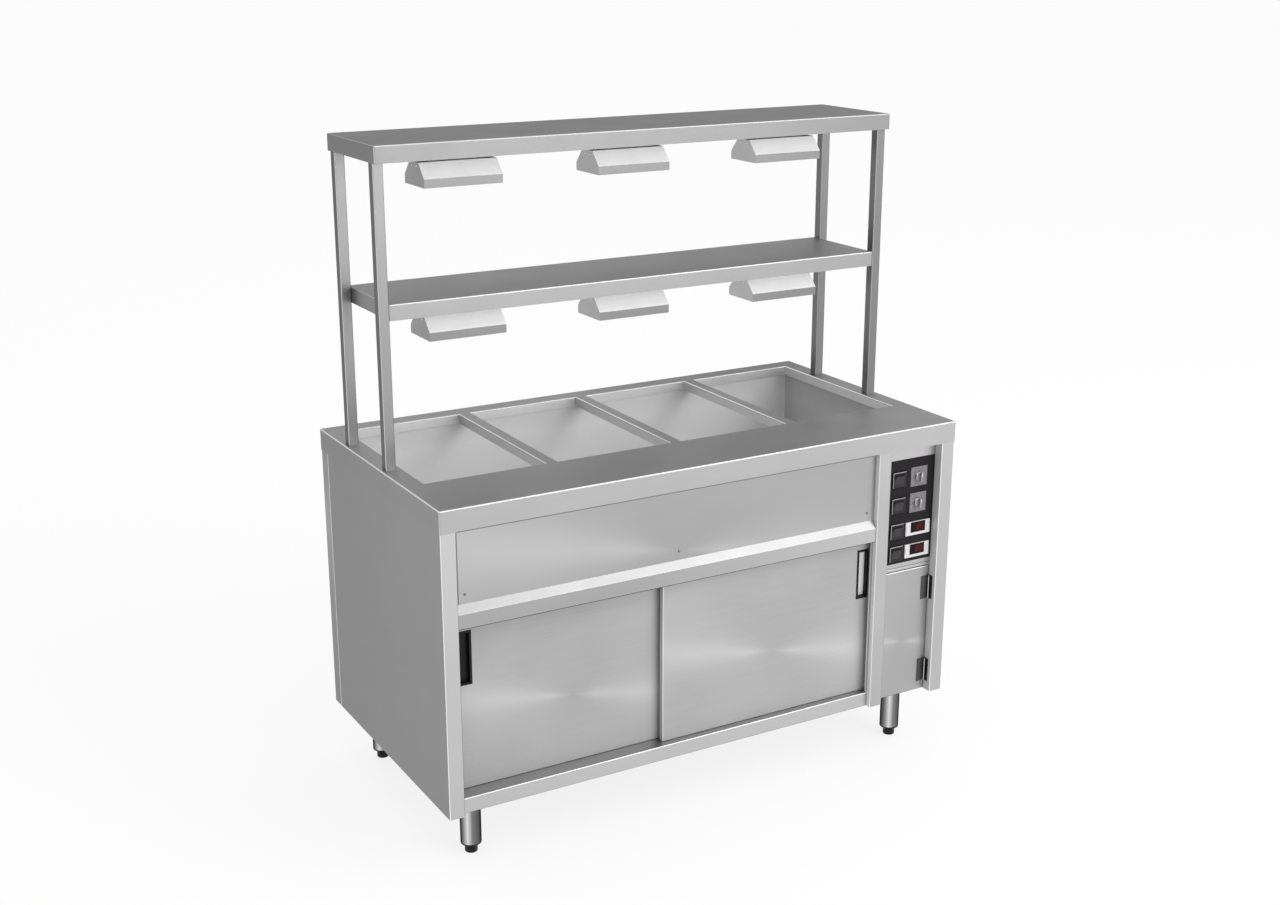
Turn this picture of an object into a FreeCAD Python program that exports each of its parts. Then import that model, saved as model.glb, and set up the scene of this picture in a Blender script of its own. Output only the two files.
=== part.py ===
import FreeCAD, Part
import math
import os

# Hot food bain-marie: a stainless counter with four pan wells over a heated
# cupboard with sliding doors, and a gantry of two shelves with heat lamps.
# Origin on the floor under the centre of the benchtop. +X runs to the right
# along the front, +Y to the back and +Z up. Lengths in millimetres.

Vector = FreeCAD.Vector
ORIGIN = Vector(0, 0, 0)
X_AXIS = Vector(1, 0, 0)
Y_AXIS = Vector(0, 1, 0)
Z_AXIS = Vector(0, 0, 1)
quarter_turn = 90.0
third_turn = 120.0
full_turn = 360.0
hexagon_sides = 6

# Clearances that the pieces share
cut_over = 1.0
fit_gap = 0.3
seam = 0.5
near_enough = 0.05

# Benchtop
bench_length = 1440.0
bench_depth = 750.0
bench_height = 900.0
bench_sheet = 1.5
bench_fold = 3.5
fascia_height = 55.0

# Pan wells, in a row along X
well_count = 4
well_bar = 32.0
well_end_margin = 50.0
well_front_margin = 200.0
well_back_margin = 52.0
well_flange = 25.0
well_fold = 3.0

# Water tank under the wells, and the jacket round it
tank_depth = 220.0
tank_sheet = 1.2
tank_fold = 3.0
tank_setback = 2.0
rim_lap = 3.0
jacket_gap = 25.0
jacket_sheet = 1.0

# Heating elements: hairpins under the tank, and one on the cupboard's floor
element_d = 8.0
element_pitch = 56.0
element_margin = 42.0
clamp_width = 18.0
clamp_sheet = 1.5
clamp_fold = 2.5
clamp_shares = (0.2, 0.75)
cupboard_element_reach = 45.0
cupboard_element_run = 420.0
cupboard_element_rise = 26.0
element_foot = 12.0
element_foot_shares = (0.15, 0.85)

# Cover over the cupboard's element
guard_height = 58.0
guard_margin = 30.0
guard_sheet = 1.0
guard_fold = 3.0
guard_slot = 6.0
guard_slot_pitch = 42.0

# Drain with its quarter-turn valve, and the spigot under the body for a hose
drain_d = 27.0
pipe_d = 33.2
drain_in_x = 118.5
drain_in_y = 48.5
spigot_nut_d = 50.0
spigot_nut_height = 8.0
spigot_length = 22.0
valve_height = 360.0
valve_size = 52.0
valve_length = 70.0
valve_boss_d = 22.0
valve_boss_length = 12.0
stem_d = 9.0
stem_length = 12.0
lever_length = 95.0
lever_width = 18.0
lever_sheet = 4.0

# Body panels
body_bottom = 150.5
body_sheet = 1.2
body_fold = 2.2
stile_width = 38.0
door_return = 25.0
mullion_lip = 5.5
service_return = 46.0
service_opening = 162.0
back_wrap = 45.0
wrap_groove = 1.2
tuck_lap = 12.0

# Base: floors, channels, and the rail in front of them
base_height = 38.5
rail_setback = 13.5
ledge_depth = 80.0
channel_width = 80.0
channel_setback = 60.0
channel_sheet = 2.0
channel_fold = 3.5

# Upper front panel and the sloped header over the doors
upper_setback = 15.0
upper_height = 177.0
header_setback = 4.0
header_slope = 20.0
header_face = 37.0
header_lip = 16.0
header_flange = 34.0
panel_screw_rise = 22.0
panel_screw_side = 23.0
panel_screw_count = 3
panel_screw_d = 6.0
panel_screw_head = 1.5

# Sliding doors: the right one runs in front of the left one
door_thickness = 15.0
door_pitch = 23.0
door_setback = 33.0
right_door_cover = 29.0
left_door_cover = 10.0
door_overlap = 85.0
door_sheet = 1.0
door_fold = 2.5
door_foot_gap = 1.0
door_rise = 12.0

# Recessed pulls
pull_height = 134.0
pull_width = 36.0
pull_margin = 27.0
pull_drop = 26.0
pull_frame = 4.0
pull_proud = 1.2
pull_recess = 10.0
pull_wall = 1.6

# Top track with hangers on glides, and guides at the doors' bottom edges
track_sheet = 1.2
track_reach = 10.0
track_slot = 8.0
track_gap = 3.0
track_drop = 26.0
hanger_sheet = 2.0
hanger_length = 40.0
hanger_inset = 60.0
hanger_foot_width = 14.0
hanger_height = 17.0
glide_height = 12.0
guide_slot = 6.0
guide_slot_end = 8.0
guide_fin = 4.0
guide_length = 30.0
guide_rise = 12.0

# Shelf inside the cupboard
shelf_rise = 215.0
shelf_sheet = 1.2
shelf_fold = 3.0
shelf_edge = 25.0
shelf_side_gap = 6.0
shelf_front_gap = 25.0
bracket_length = 60.0
bracket_leg = 14.0
bracket_sheet = 1.5
bracket_fold = 2.5
bracket_shares = (0.12, 0.78)

# Legs with adjustable feet
leg_inset_x = 94.0
leg_inset_front = 98.0
leg_inset_back = 88.0
leg_plate_size = 100.0
leg_plate_thick = 4.0
leg_tube_d = 51.0
leg_tube_wall = 1.5
collar_height = 11.0
collar_rim = 3.5
collar_small_d = 34.0
collar_plug = 24.0
foot_height = 17.0
foot_d = 31.5
foot_round = 4.0
foot_stem_d = 12.0
foot_stem_length = 52.0
bolt_head_d = 13.0
bolt_head_height = 5.0
bolt_inset = 13.0

# Control panel
panel_setback = 26.0
panel_sheet = 1.2
panel_flange = 16.0
panel_fold = 2.0
panel_rise = 12.0
cross_rail_gap = 1.5
cross_rail_depth = 16.0
overlay_thick = 0.5
overlay_left_gap = 2.0
overlay_right_gap = 1.0
overlay_rise = 12.0
overlay_drop = 84.0
row_shares = (0.817, 0.567, 0.317, 0.101)

# Rocker switches
switch_in_x = 45.5
switch_width = 42.0
switch_height = 40.0
switch_proud = 5.0
switch_rim = 4.0
switch_wall = 1.6
switch_body_depth = 24.0
switch_well = 8.0
rocker_side_gap = 0.7
rocker_end_gap = 1.7
rocker_tilt = 10.0
rocker_depth = 6.0
rocker_pin_d = 2.4
pin_gap = 0.2
pin_seat_share = 0.5

# Dials with their knobs
dial_count = 2
dial_in_x = 110.5
dial_width = 52.0
dial_height = 52.0
dial_thick = 0.8
knob_d = 25.0
knob_skirt = 6.0
knob_bar_length = 24.0
knob_bar_width = 7.0
knob_bar_height = 8.0
knob_round = 1.2
knob_tip_share = 0.6
shaft_d = 6.0
shaft_length = 18.0
regulator_size = 38.0
regulator_height = 30.0
regulator_depth = 30.0

# Temperature controllers
controller_count = 2
controller_in_x = 113.5
controller_width = 79.0
controller_height = 37.5
controller_proud = 3.0
controller_round = 1.5
controller_body_width = 70.0
controller_body_height = 28.0
controller_body_depth = 58.0
display_width = 48.0
display_height = 28.5
display_margin = 1.2
display_recess = 1.2
key_count = 2
key_width = 9.0
key_height = 15.0
key_proud = 0.8
key_depth = 2.0
key_travel = 1.0
key_gap = 0.3
key_round = 0.5

# Service door, its hinges and its catch
service_share = 0.476
service_thickness = 15.0
service_foot_gap = 1.5
service_left_gap = 1.5
service_right_gap = 1.8
hinge_inset = 4.5
hinge_ahead = 5.0
hinge_leaf = 1.4
hinge_length = 64.5
hinge_shares = (0.16, 0.83)
hinge_reach_ahead = 10.0
hinge_reach_behind = 5.0
hinge_leaf_gap = 4.0
hinge_leaf_width = 17.0
hinge_pin_d = 2.8
knuckle_count = 3
knuckle_gap = 0.4
leaf_screw_d = 5.0
leaf_screw_head = 0.8
leaf_screw_share = 0.3
catch_size = 14.0
catch_length = 40.0
catch_depth = 13.0
catch_height = 300.0

# Terminal block and cable gland in the service bay
terminal_length = 90.0
terminal_height = 28.0
terminal_depth = 34.0
terminal_rise = 330.0
terminal_in_y = 320.0
gland_d = 24.0
gland_nut_d = 32.0
gland_nut_height = 7.0
gland_length = 16.0
gland_in_x = 28.0
gland_in_y = 193.0
cable_hole_d = 14.0

# Gantry
post_size = 25.0
post_wall = 1.5
post_fold = 2.0
post_inset = 10.5
gantry_depth = 265.0
gantry_behind = 86.0
top_shelf_height = 1652.0
top_shelf_edge = 40.0
top_shelf_overhang = 16.0
mid_shelf_height = 1291.5
mid_shelf_edge = 38.0
shelf_pan = 1.2
shelf_pan_fold = 3.0

# Heat lamps, in a row under each shelf
lamp_count = 3
lamp_length = 200.0
lamp_width = 115.0
lamp_skirt = 21.0
lamp_height = 56.0
lamp_top_width = 52.0
lamp_sheet = 1.2
lamp_fold = 2.0
lamp_hang = 58.5
lamp_tube_d = 10.0
lamp_tube_rise = 24.0
holder_length = 16.0
holder_width = 22.0
holder_grip = 6.0
lamp_bracket_width = 14.0
lamp_bracket_inset = 12.0
lamp_bracket_sheet = 1.5
lamp_bracket_fold = 3.0
lamp_bracket_base = 40.0
lamp_bracket_flange = 12.0

# Places worked out from the sizes above
front_y = -bench_depth / 2 + bench_sheet
back_y = bench_depth / 2 - bench_sheet
side_x = bench_length / 2 - bench_sheet
inner_x = side_x - body_sheet
tuck_x = inner_x - body_sheet
inner_back_y = back_y - body_sheet
bench_under = bench_height - bench_sheet
fascia_bottom = bench_height - fascia_height
body_top = bench_under - bench_fold
stile_left_x = -side_x + stile_width
stile_right_x = side_x - stile_width
mullion_right_x = stile_right_x - service_opening
mullion_left_x = mullion_right_x - stile_width
wall_x = mullion_right_x - body_sheet

wells_length = bench_length - 2 * well_end_margin
well_length = (wells_length - (well_count - 1) * well_bar) / well_count
well_back_y = bench_depth / 2 - well_back_margin
well_front_y = well_front_margin - bench_depth / 2
tank_x = wells_length / 2 + bench_sheet + tank_setback + tank_sheet
tank_front_y = well_front_y - bench_sheet - tank_setback - tank_sheet
tank_back_y = well_back_y + bench_sheet + tank_setback + tank_sheet
tank_under_z = bench_height - tank_depth - tank_sheet
jacket_x = tank_x + jacket_gap + jacket_sheet
jacket_front_y = tank_front_y - jacket_gap - jacket_sheet
jacket_back_y = tank_back_y + jacket_gap + jacket_sheet
jacket_under_z = tank_under_z - jacket_gap - jacket_sheet
drain_x = tank_x - drain_in_x
drain_y = tank_front_y + drain_in_y

base_top = body_bottom + body_sheet
floor_top = body_bottom + base_height
floor_under = floor_top - body_sheet
header_top = fascia_bottom - upper_height
header_bottom = header_top - header_slope - header_face
flange_top = header_top + header_flange
door_bottom = floor_top + door_foot_gap
door_top = header_bottom + door_rise
doors_length = mullion_left_x + right_door_cover - stile_left_x + left_door_cover
door_width = (doors_length + door_overlap) / 2
right_door_x = mullion_left_x + right_door_cover - door_width
left_door_x = stile_left_x - left_door_cover
overlap_x = right_door_x + door_overlap / 2
pull_top = header_bottom - pull_drop
track_lip_z = door_top + track_gap
track_roof_z = track_lip_z + track_drop

leg_x = side_x + bench_sheet - leg_inset_x
leg_front_y = front_y - bench_sheet + leg_inset_front
leg_back_y = back_y + bench_sheet - leg_inset_back
leg_top = body_bottom - leg_plate_thick
collar_top = foot_height + collar_height

service_top = body_bottom + (body_top - body_bottom) * service_share
panel_bottom = service_top + panel_rise
overlay_bottom = panel_bottom + overlay_rise
overlay_top = body_top - overlay_drop
panel_y = front_y + panel_setback
panel_back_y = panel_y + panel_sheet
overlay_y = panel_y - overlay_thick
bezel_y = overlay_y - switch_proud
dial_y = overlay_y - dial_thick
controller_y = overlay_y - controller_proud
switch_x = mullion_right_x + switch_in_x
dial_x = mullion_right_x + dial_in_x
controller_x = mullion_right_x + controller_in_x
hinge_x = stile_right_x - hinge_inset
hinge_y = panel_y - hinge_ahead
knuckle_r = hinge_inset - hinge_leaf - fit_gap

post_x = side_x + bench_sheet - post_inset
lamp_pitch = 2 * (post_x - post_size) / lamp_count
gantry_front_y = gantry_behind - gantry_depth / 2
gantry_back_y = gantry_behind + gantry_depth / 2


def front(depth):
    """Y of a place that lies depth behind the front of the body."""
    return front_y + depth


def box(x0, x1, y0, y1, z0, z1):
    return Part.makeBox(x1 - x0, y1 - y0, z1 - z0, Vector(x0, y0, z0))


def rod(x, y, z, axis, diameter, length):
    return Part.makeCylinder(diameter / 2, length, Vector(x, y, z), axis)


def tube(x, y, z, axis, outer, inner, length):
    return rod(x, y, z, axis, outer, length).cut(rod(x, y, z, axis, inner, length))


def face_of(points):
    """Flat face in the XY plane inside an outline of (x, y) points."""
    outline = [Vector(u, v, 0) for u, v in points]
    outline.append(outline[0])
    return Part.Face(Part.makePolygon(outline))


def along_x(face, x0, x1):
    """Solid from a face drawn as (y, z), from x0 to x1."""
    turned = face.rotated(ORIGIN, Vector(1, 1, 1), third_turn)
    return turned.translated(Vector(x0, 0, 0)).extrude(Vector(x1 - x0, 0, 0))


def along_y(face, y0, y1):
    """Solid from a face drawn as (x, z), from y0 to y1."""
    turned = face.rotated(ORIGIN, X_AXIS, quarter_turn)
    return turned.translated(Vector(0, y0, 0)).extrude(Vector(0, y1 - y0, 0))


def along_z(face, z0, z1):
    """Solid from a face drawn as (x, y), from z0 to z1."""
    return face.translated(Vector(0, 0, z0)).extrude(Vector(0, 0, z1 - z0))


def fuse(first, *others):
    solid = first
    for other in others:
        solid = solid.fuse(other)
    return solid.removeSplitter()


def cut(first, *others):
    solid = first
    for other in others:
        solid = solid.cut(other)
    return solid


def near(a, b):
    return abs(a - b) < near_enough


def round_edges(solid, radius, test):
    """Rounds the edges whose bounding box passes the test."""
    return solid.makeFillet(radius, [edge for edge in solid.Edges if test(edge.BoundBox)])


def upright(b):
    return near(b.XMin, b.XMax) and near(b.YMin, b.YMax)


def level(b, z):
    return near(b.ZMin, z) and near(b.ZMax, z)


def facing(b, y):
    return near(b.YMin, y) and near(b.YMax, y)


def rounded_line(points, radii):
    """Edges of a line of points whose corners are rounded."""
    edges = []
    start = points[0]
    for before, corner, after, radius in zip(points, points[1:], points[2:], radii):
        back = (before - corner).normalize()
        ahead = (after - corner).normalize()
        half = back.getAngle(ahead) / 2
        first = corner + back * (radius / math.tan(half))
        last = corner + ahead * (radius / math.tan(half))
        middle = corner + (back + ahead).normalize() * (radius / math.sin(half) - radius)
        edges.append(Part.LineSegment(start, first).toShape())
        edges.append(Part.Arc(first, middle, last).toShape())
        start = last
    edges.append(Part.LineSegment(start, points[-1]).toShape())
    return edges


def folded(points, sheet, fold):
    """Section of a folded sheet that lies to the left of a path of corners."""
    path = [Vector(u, v, 0) for u, v in points]
    runs = [(b - a).normalize() for a, b in zip(path, path[1:])]
    left = [Vector(-run.y, run.x, 0) for run in runs]
    other = [path[0] + left[0] * sheet]
    path_radii = []
    other_radii = []
    for corner, before, after, turn in zip(path[1:], left, left[1:], zip(runs, runs[1:])):
        other.append(corner + (before + after) * (sheet / (1 + before.dot(after))))
        outside = turn[0].cross(turn[1]).z > 0
        path_radii.append(fold if outside else fold - sheet)
        other_radii.append(fold - sheet if outside else fold)
    other.append(path[-1] + left[-1] * sheet)
    edges = rounded_line(path, path_radii)
    edges.append(Part.LineSegment(path[-1], other[-1]).toShape())
    edges += rounded_line(other[::-1], other_radii[::-1])
    edges.append(Part.LineSegment(other[0], path[0]).toShape())
    return Part.Face(Part.Wire(edges))


def pan(x0, x1, y0, y1, z0, z1, sheet, fold):
    """Folded sheet pan, closed at the top and open below."""
    outer = round_edges(box(x0, x1, y0, y1, z0, z1), fold, lambda b: upright(b) or level(b, z1))
    top = z1 - sheet
    room = box(x0 + sheet, x1 - sheet, y0 + sheet, y1 - sheet, z0 - cut_over, top)
    return outer.cut(round_edges(room, fold - sheet, lambda b: upright(b) or level(b, top)))


def door_pan(x0, x1, y0, y1, z0, z1, sheet, fold):
    """Folded door skin, closed at the front and open behind."""
    flat = pan(x0, x1, z0, z1, -y1, -y0, sheet, fold)
    return flat.rotated(ORIGIN, X_AXIS, quarter_turn)


def welded(sheet, x0, x1, y0, y1):
    """Solids of a welded sheet: those in front of, behind, left and right of a middle, and in it."""
    b = sheet.BoundBox
    left, right = b.XMin - cut_over, b.XMax + cut_over
    low, high = b.ZMin - cut_over, b.ZMax + cut_over
    parts = [(left, right, b.YMin - cut_over, y0), (left, right, y1, b.YMax + cut_over),
             (left, x0, y0, y1), (x1, right, y0, y1), (x0, x1, y0, y1)]
    solids = []
    for start, end, near_y, far_y in parts:
        solids += sheet.common(box(start, end, near_y, far_y, low, high)).Solids
    return solids


def hexagon(x, y, across, z0, z1):
    corners = []
    for corner in range(hexagon_sides):
        angle = math.radians(full_turn * corner / hexagon_sides)
        corners.append((x + across / 2 * math.cos(angle), y + across / 2 * math.sin(angle)))
    return along_z(face_of(corners), z0, z1)


# Benchtop, with the turned-down flange of each well

def well_x(index):
    """Left edge of a well's opening."""
    return -wells_length / 2 + index * (well_length + well_bar)


def over_wells(b):
    """Whether an edge lies within the wells' flanges, seen from above."""
    reach = bench_sheet + cut_over
    within_x = b.XMin > -wells_length / 2 - reach and b.XMax < wells_length / 2 + reach
    return within_x and b.YMin > well_front_y - reach and b.YMax < well_back_y + reach


def benchtop():
    """Top in four strips round the wells, with the bars between the wells."""
    half_length = bench_length / 2
    half_depth = bench_depth / 2
    top = pan(-half_length, half_length, -half_depth, half_depth,
              fascia_bottom, bench_height, bench_sheet, bench_fold)
    lip_top = fascia_bottom + bench_sheet
    lip_back = front(upper_setback) - seam
    cupboard_lip = box(stile_left_x + seam, mullion_left_x - seam, front_y, lip_back,
                       fascia_bottom, lip_top)
    service_lip = box(mullion_right_x + seam, stile_right_x - seam, front_y, lip_back,
                      fascia_bottom, lip_top)
    flange_bottom = bench_height - well_flange
    over = bench_height + cut_over
    flanges = []
    openings = []
    for index in range(well_count):
        x0 = well_x(index)
        x1 = x0 + well_length
        flanges.append(box(x0 - bench_sheet, x1 + bench_sheet, well_front_y - bench_sheet,
                           well_back_y + bench_sheet, flange_bottom, bench_under))
        openings.append(box(x0, x1, well_front_y, well_back_y, flange_bottom - cut_over, over))
    top = fuse(top, cupboard_lip, service_lip, *flanges)
    top = round_edges(top, well_fold - bench_sheet, lambda b: level(b, bench_under) and over_wells(b))
    top = cut(top, *openings)
    top = round_edges(top, well_fold, lambda b: level(b, bench_height) and over_wells(b))
    return welded(top, -wells_length / 2, wells_length / 2, well_front_y, well_back_y)


# Water tank and jacket

def drain_hole(diameter, z):
    """Drill for the drain through a sheet at height z."""
    return rod(drain_x, drain_y, z - cut_over, Z_AXIS, diameter, tank_sheet + 2 * cut_over)


def pan_sheets(shell, reach_x, y0, y1):
    """Floor and four walls of a welded pan, parted just past its folds."""
    edge = tank_fold + seam
    return welded(shell, edge - reach_x, reach_x - edge, y0 + edge, y1 - edge)


def water_tank():
    shell = pan(-tank_x, tank_x, tank_front_y, tank_back_y, tank_under_z, bench_under, tank_sheet, tank_fold)
    shell = shell.mirror(Vector(0, 0, (tank_under_z + bench_under) / 2), Z_AXIS)
    reach = jacket_gap + jacket_sheet + rim_lap
    rim = box(-tank_x - reach, tank_x + reach, tank_front_y - reach, tank_back_y + reach,
              bench_under - tank_sheet, bench_under)
    mouth = box(-tank_x + tank_sheet, tank_x - tank_sheet, tank_front_y + tank_sheet,
                tank_back_y - tank_sheet, bench_under - well_flange, bench_height)
    mouth = round_edges(mouth, tank_fold - tank_sheet, upright)
    tank = cut(fuse(shell, rim.cut(mouth)), drain_hole(drain_d, tank_under_z))
    return pan_sheets(tank, tank_x, tank_front_y, tank_back_y)


def tank_jacket():
    top = bench_under - tank_sheet
    shell = pan(-jacket_x, jacket_x, jacket_front_y, jacket_back_y, jacket_under_z, top,
                jacket_sheet, tank_fold)
    shell = shell.mirror(Vector(0, 0, (jacket_under_z + top) / 2), Z_AXIS)
    shell = cut(shell, drain_hole(pipe_d + 2 * seam, jacket_under_z))
    return pan_sheets(shell, jacket_x, jacket_front_y, jacket_back_y)


# Heating elements

def hairpin(x, y0, y1, z, reach, diameter):
    """Bent rod element that lies flat, with its bend at y1 and its ends at y0."""
    centre_y = y1 - reach
    left = rod(x - reach, y0, z, Y_AXIS, diameter, centre_y - y0)
    right = rod(x + reach, y0, z, Y_AXIS, diameter, centre_y - y0)
    ring = Part.makeTorus(reach, diameter / 2, Vector(x, centre_y, z), Z_AXIS)
    half = ring.common(box(x - 2 * reach, x + 2 * reach, centre_y, centre_y + 2 * reach,
                           z - diameter, z + diameter))
    return fuse(left, half, right)


def tank_hairpins():
    loops = []
    z = tank_under_z - fit_gap - element_d / 2
    y0 = drain_y + drain_d
    y1 = tank_back_y - element_margin
    for index in range(well_count):
        centre = well_x(index) + well_length / 2
        for side in (-1, 1):
            loops.append(hairpin(centre + side * element_pitch, y0, y1, z, element_pitch / 2, element_d))
    return loops


def element_clamps():
    """Straps welded under the tank's floor that hold the hairpins against it."""
    straps = []
    low = tank_under_z - element_d - 2 * fit_gap - clamp_sheet
    half = 3 * element_pitch / 2 + element_d
    y0 = drain_y + drain_d
    run = tank_back_y - element_margin - element_pitch / 2 - y0
    for index in range(well_count):
        centre = well_x(index) + well_length / 2
        path = [(centre - half, tank_under_z), (centre - half, low),
                (centre + half, low), (centre + half, tank_under_z)]
        for share in clamp_shares:
            y = y0 + run * share
            straps.append(along_y(folded(path, clamp_sheet, clamp_fold), y, y + clamp_width))
    return straps


def heater_x():
    return (wall_x - inner_x) / 2


def heater_y():
    return (front(ledge_depth) + inner_back_y) / 2


def cupboard_hairpin():
    """Hairpin on two feet on the cupboard's floor."""
    z = floor_top + cupboard_element_rise
    reach = cupboard_element_reach
    run = cupboard_element_run
    side = reach + element_d
    loop = hairpin(0, -run / 2, run / 2, z, reach, element_d)
    loop = loop.rotated(ORIGIN, Z_AXIS, quarter_turn).translated(Vector(heater_x(), heater_y(), 0))
    feet = []
    for share in element_foot_shares:
        x0 = heater_x() - run / 2 + (run - reach) * share
        feet.append(box(x0, x0 + element_foot, heater_y() - side, heater_y() + side, floor_top, z))
    return fuse(loop, *feet)


def heating_elements():
    return tank_hairpins() + element_clamps() + [cupboard_hairpin()]


def element_guard():
    """Slotted cover over the cupboard's element."""
    half_x = cupboard_element_run / 2 + guard_margin
    half_y = cupboard_element_reach + guard_margin
    x0 = heater_x() - half_x
    x1 = heater_x() + half_x
    cover = pan(x0, x1, heater_y() - half_y, heater_y() + half_y,
                floor_top, floor_top + guard_height, guard_sheet, guard_fold)
    count = int((x1 - x0 - guard_margin) // guard_slot_pitch)
    half_slot = guard_slot / 2
    y0 = heater_y() - half_y + guard_margin / 2
    y1 = heater_y() + half_y - guard_margin / 2
    low = floor_top + guard_height / 2
    high = floor_top + guard_height + cut_over
    for index in range(count):
        x = heater_x() + (index - (count - 1) / 2) * guard_slot_pitch
        cover = cover.cut(box(x - half_slot, x + half_slot, y0, y1, low, high))
    return [cover]


# Drain

def drain_pipe():
    """Pipe above the valve, and the pipe below it with its nut and hose spigot."""
    above = valve_height + valve_length / 2
    below = valve_height - valve_length / 2
    nut_z = body_bottom - spigot_nut_height
    end = nut_z - spigot_length
    upper = tube(drain_x, drain_y, above, Z_AXIS, pipe_d, drain_d, tank_under_z - above)
    lower = rod(drain_x, drain_y, end, Z_AXIS, pipe_d, below - end)
    nut = hexagon(drain_x, drain_y, spigot_nut_d, nut_z, body_bottom)
    bore = rod(drain_x, drain_y, end, Z_AXIS, drain_d, below - end)
    return [upper, fuse(lower, nut).cut(bore)]


def drain_valve():
    half = valve_size / 2
    below = valve_height - valve_length / 2
    boss_y = drain_y - half - valve_boss_length
    body = box(drain_x - half, drain_x + half, drain_y - half, drain_y + half, below, below + valve_length)
    boss = rod(drain_x, boss_y, valve_height, Y_AXIS, valve_boss_d, valve_boss_length)
    bore = rod(drain_x, drain_y, below, Z_AXIS, drain_d, valve_length)
    stem_hole = rod(drain_x, boss_y, valve_height, Y_AXIS, stem_d + 2 * fit_gap, stem_length)
    return [cut(fuse(body, boss), bore, stem_hole)]


def drain_lever():
    """Lever that lies across the pipe when shut and along it when open."""
    y1 = drain_y - valve_size / 2 - valve_boss_length - fit_gap
    y0 = y1 - lever_sheet
    half = lever_width / 2
    grip = box(drain_x, drain_x + lever_length - half, y0, y1, valve_height - half, valve_height + half)
    eye = rod(drain_x, y0, valve_height, Y_AXIS, lever_width, lever_sheet)
    tip = rod(drain_x + lever_length - half, y0, valve_height, Y_AXIS, lever_width, lever_sheet)
    stem = rod(drain_x, y0, valve_height, Y_AXIS, stem_d, lever_sheet + stem_length)
    return [fuse(grip, eye, tip, stem)]


# Body panels

def side_panel(side, turn):
    """Side panel folded round its front corner, and joggled behind the back panel."""
    joint_y = back_y - back_wrap - wrap_groove
    inner = side_x - stile_width
    path = [(inner, front(turn)), (inner, front_y), (side_x, front_y), (side_x, joint_y)]
    sheet = along_z(folded(path, body_sheet, body_fold), body_bottom, body_top)
    tuck = box(tuck_x, inner_x, joint_y - tuck_lap, inner_back_y - body_fold, body_bottom, body_top)
    panel = fuse(sheet, tuck)
    if side < 0:
        panel = panel.mirror(ORIGIN, X_AXIS)
    return [panel]


def back_panel():
    wrap_y = back_y - back_wrap
    path = [(side_x, wrap_y), (side_x, back_y), (-side_x, back_y), (-side_x, wrap_y)]
    return [along_z(folded(path, body_sheet, body_fold), body_bottom, body_top)]


def mullion():
    """Folded post between the doors and the service bay, with a lip over the right door's edge."""
    path = [(mullion_left_x, front(door_return)), (mullion_left_x, front_y),
            (mullion_right_x, front_y), (mullion_right_x, front(service_return))]
    post = along_z(folded(path, body_sheet, body_fold), body_bottom, body_top)
    lip = box(mullion_left_x - mullion_lip, mullion_left_x + body_sheet / 2, front(rail_setback),
              front(rail_setback) + body_sheet, floor_top + seam, header_bottom - seam)
    return [fuse(post, lip)]


def compartment_wall():
    """Wall between cupboard and service bay, stepped round the tank's jacket."""
    y0 = front(service_return)
    low = box(wall_x, mullion_right_x, y0, inner_back_y, base_top, jacket_under_z - seam)
    high = box(wall_x, mullion_right_x, y0, jacket_front_y - seam, base_top, body_top)
    return [fuse(low, high)]


# Base

def floor_panels():
    """Base sheet under the whole body, and the cupboard's floor above it."""
    y0 = front(service_return)
    base = box(-tuck_x, tuck_x, y0, inner_back_y, body_bottom, base_top)
    base = base.cut(drain_hole(pipe_d + 2 * fit_gap, body_bottom))
    base = base.cut(rod(gland_x(), gland_y(), body_bottom - cut_over, Z_AXIS, gland_d + 2 * fit_gap,
                        body_sheet + 2 * cut_over))
    floor = box(-tuck_x, wall_x, front(ledge_depth), inner_back_y, floor_under, floor_top)
    return [base, floor]


def base_channels():
    """Channels between the two floors over the legs, and the legs' plates below."""
    pieces = []
    half = channel_width / 2
    plate_half = leg_plate_size / 2
    for side in (-1, 1):
        x = side * leg_x
        path = [(x - half, floor_under), (x - half, base_top), (x + half, base_top), (x + half, floor_under)]
        section = folded(path, channel_sheet, channel_fold)
        pieces.append(along_y(section, front(channel_setback), inner_back_y))
        for y in (leg_front_y, leg_back_y):
            pieces.append(box(x - plate_half, x + plate_half, y - plate_half, y + plate_half,
                              leg_top, body_bottom))
    return pieces


def bottom_rail():
    """Rail under the doors, folded back at its top into the doors' ledge."""
    x0 = stile_left_x + seam
    x1 = mullion_left_x - seam
    path = [(front(ledge_depth), floor_top), (front(rail_setback), floor_top),
            (front(rail_setback), body_bottom), (front(service_return), body_bottom)]
    rail = along_x(folded(path, body_sheet, body_fold), x0, x1)
    ledge_y = front(door_return) + seam
    left = box(-inner_x, x0, ledge_y, front(ledge_depth), floor_under, floor_top)
    right = box(x1, wall_x, ledge_y, front(ledge_depth), floor_under, floor_top)
    return [fuse(rail, left, right)]


# Upper front panel and door header

def upper_front_panel():
    return [box(stile_left_x + seam, mullion_left_x - seam, front(upper_setback),
                front(upper_setback) + body_sheet, header_top + seam, body_top)]


def door_header():
    back = front(upper_setback) + body_sheet
    face = front(header_setback)
    path = [(back, flange_top), (back, header_top), (face, header_top - header_slope),
            (face, header_bottom), (face + header_lip, header_bottom)]
    return [along_x(folded(path, body_sheet, body_fold), stile_left_x + seam, mullion_left_x - seam)]


# Tracks, hangers and guides of the sliding doors

def door_y(index):
    """Front of the right door (0) or the left door (1)."""
    return front(door_setback + index * door_pitch)


def door_middle(index):
    return door_y(index) + door_thickness / 2


def door_x(index):
    """Left edge of the right door (0) or the left door (1)."""
    return right_door_x if index == 0 else left_door_x


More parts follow.
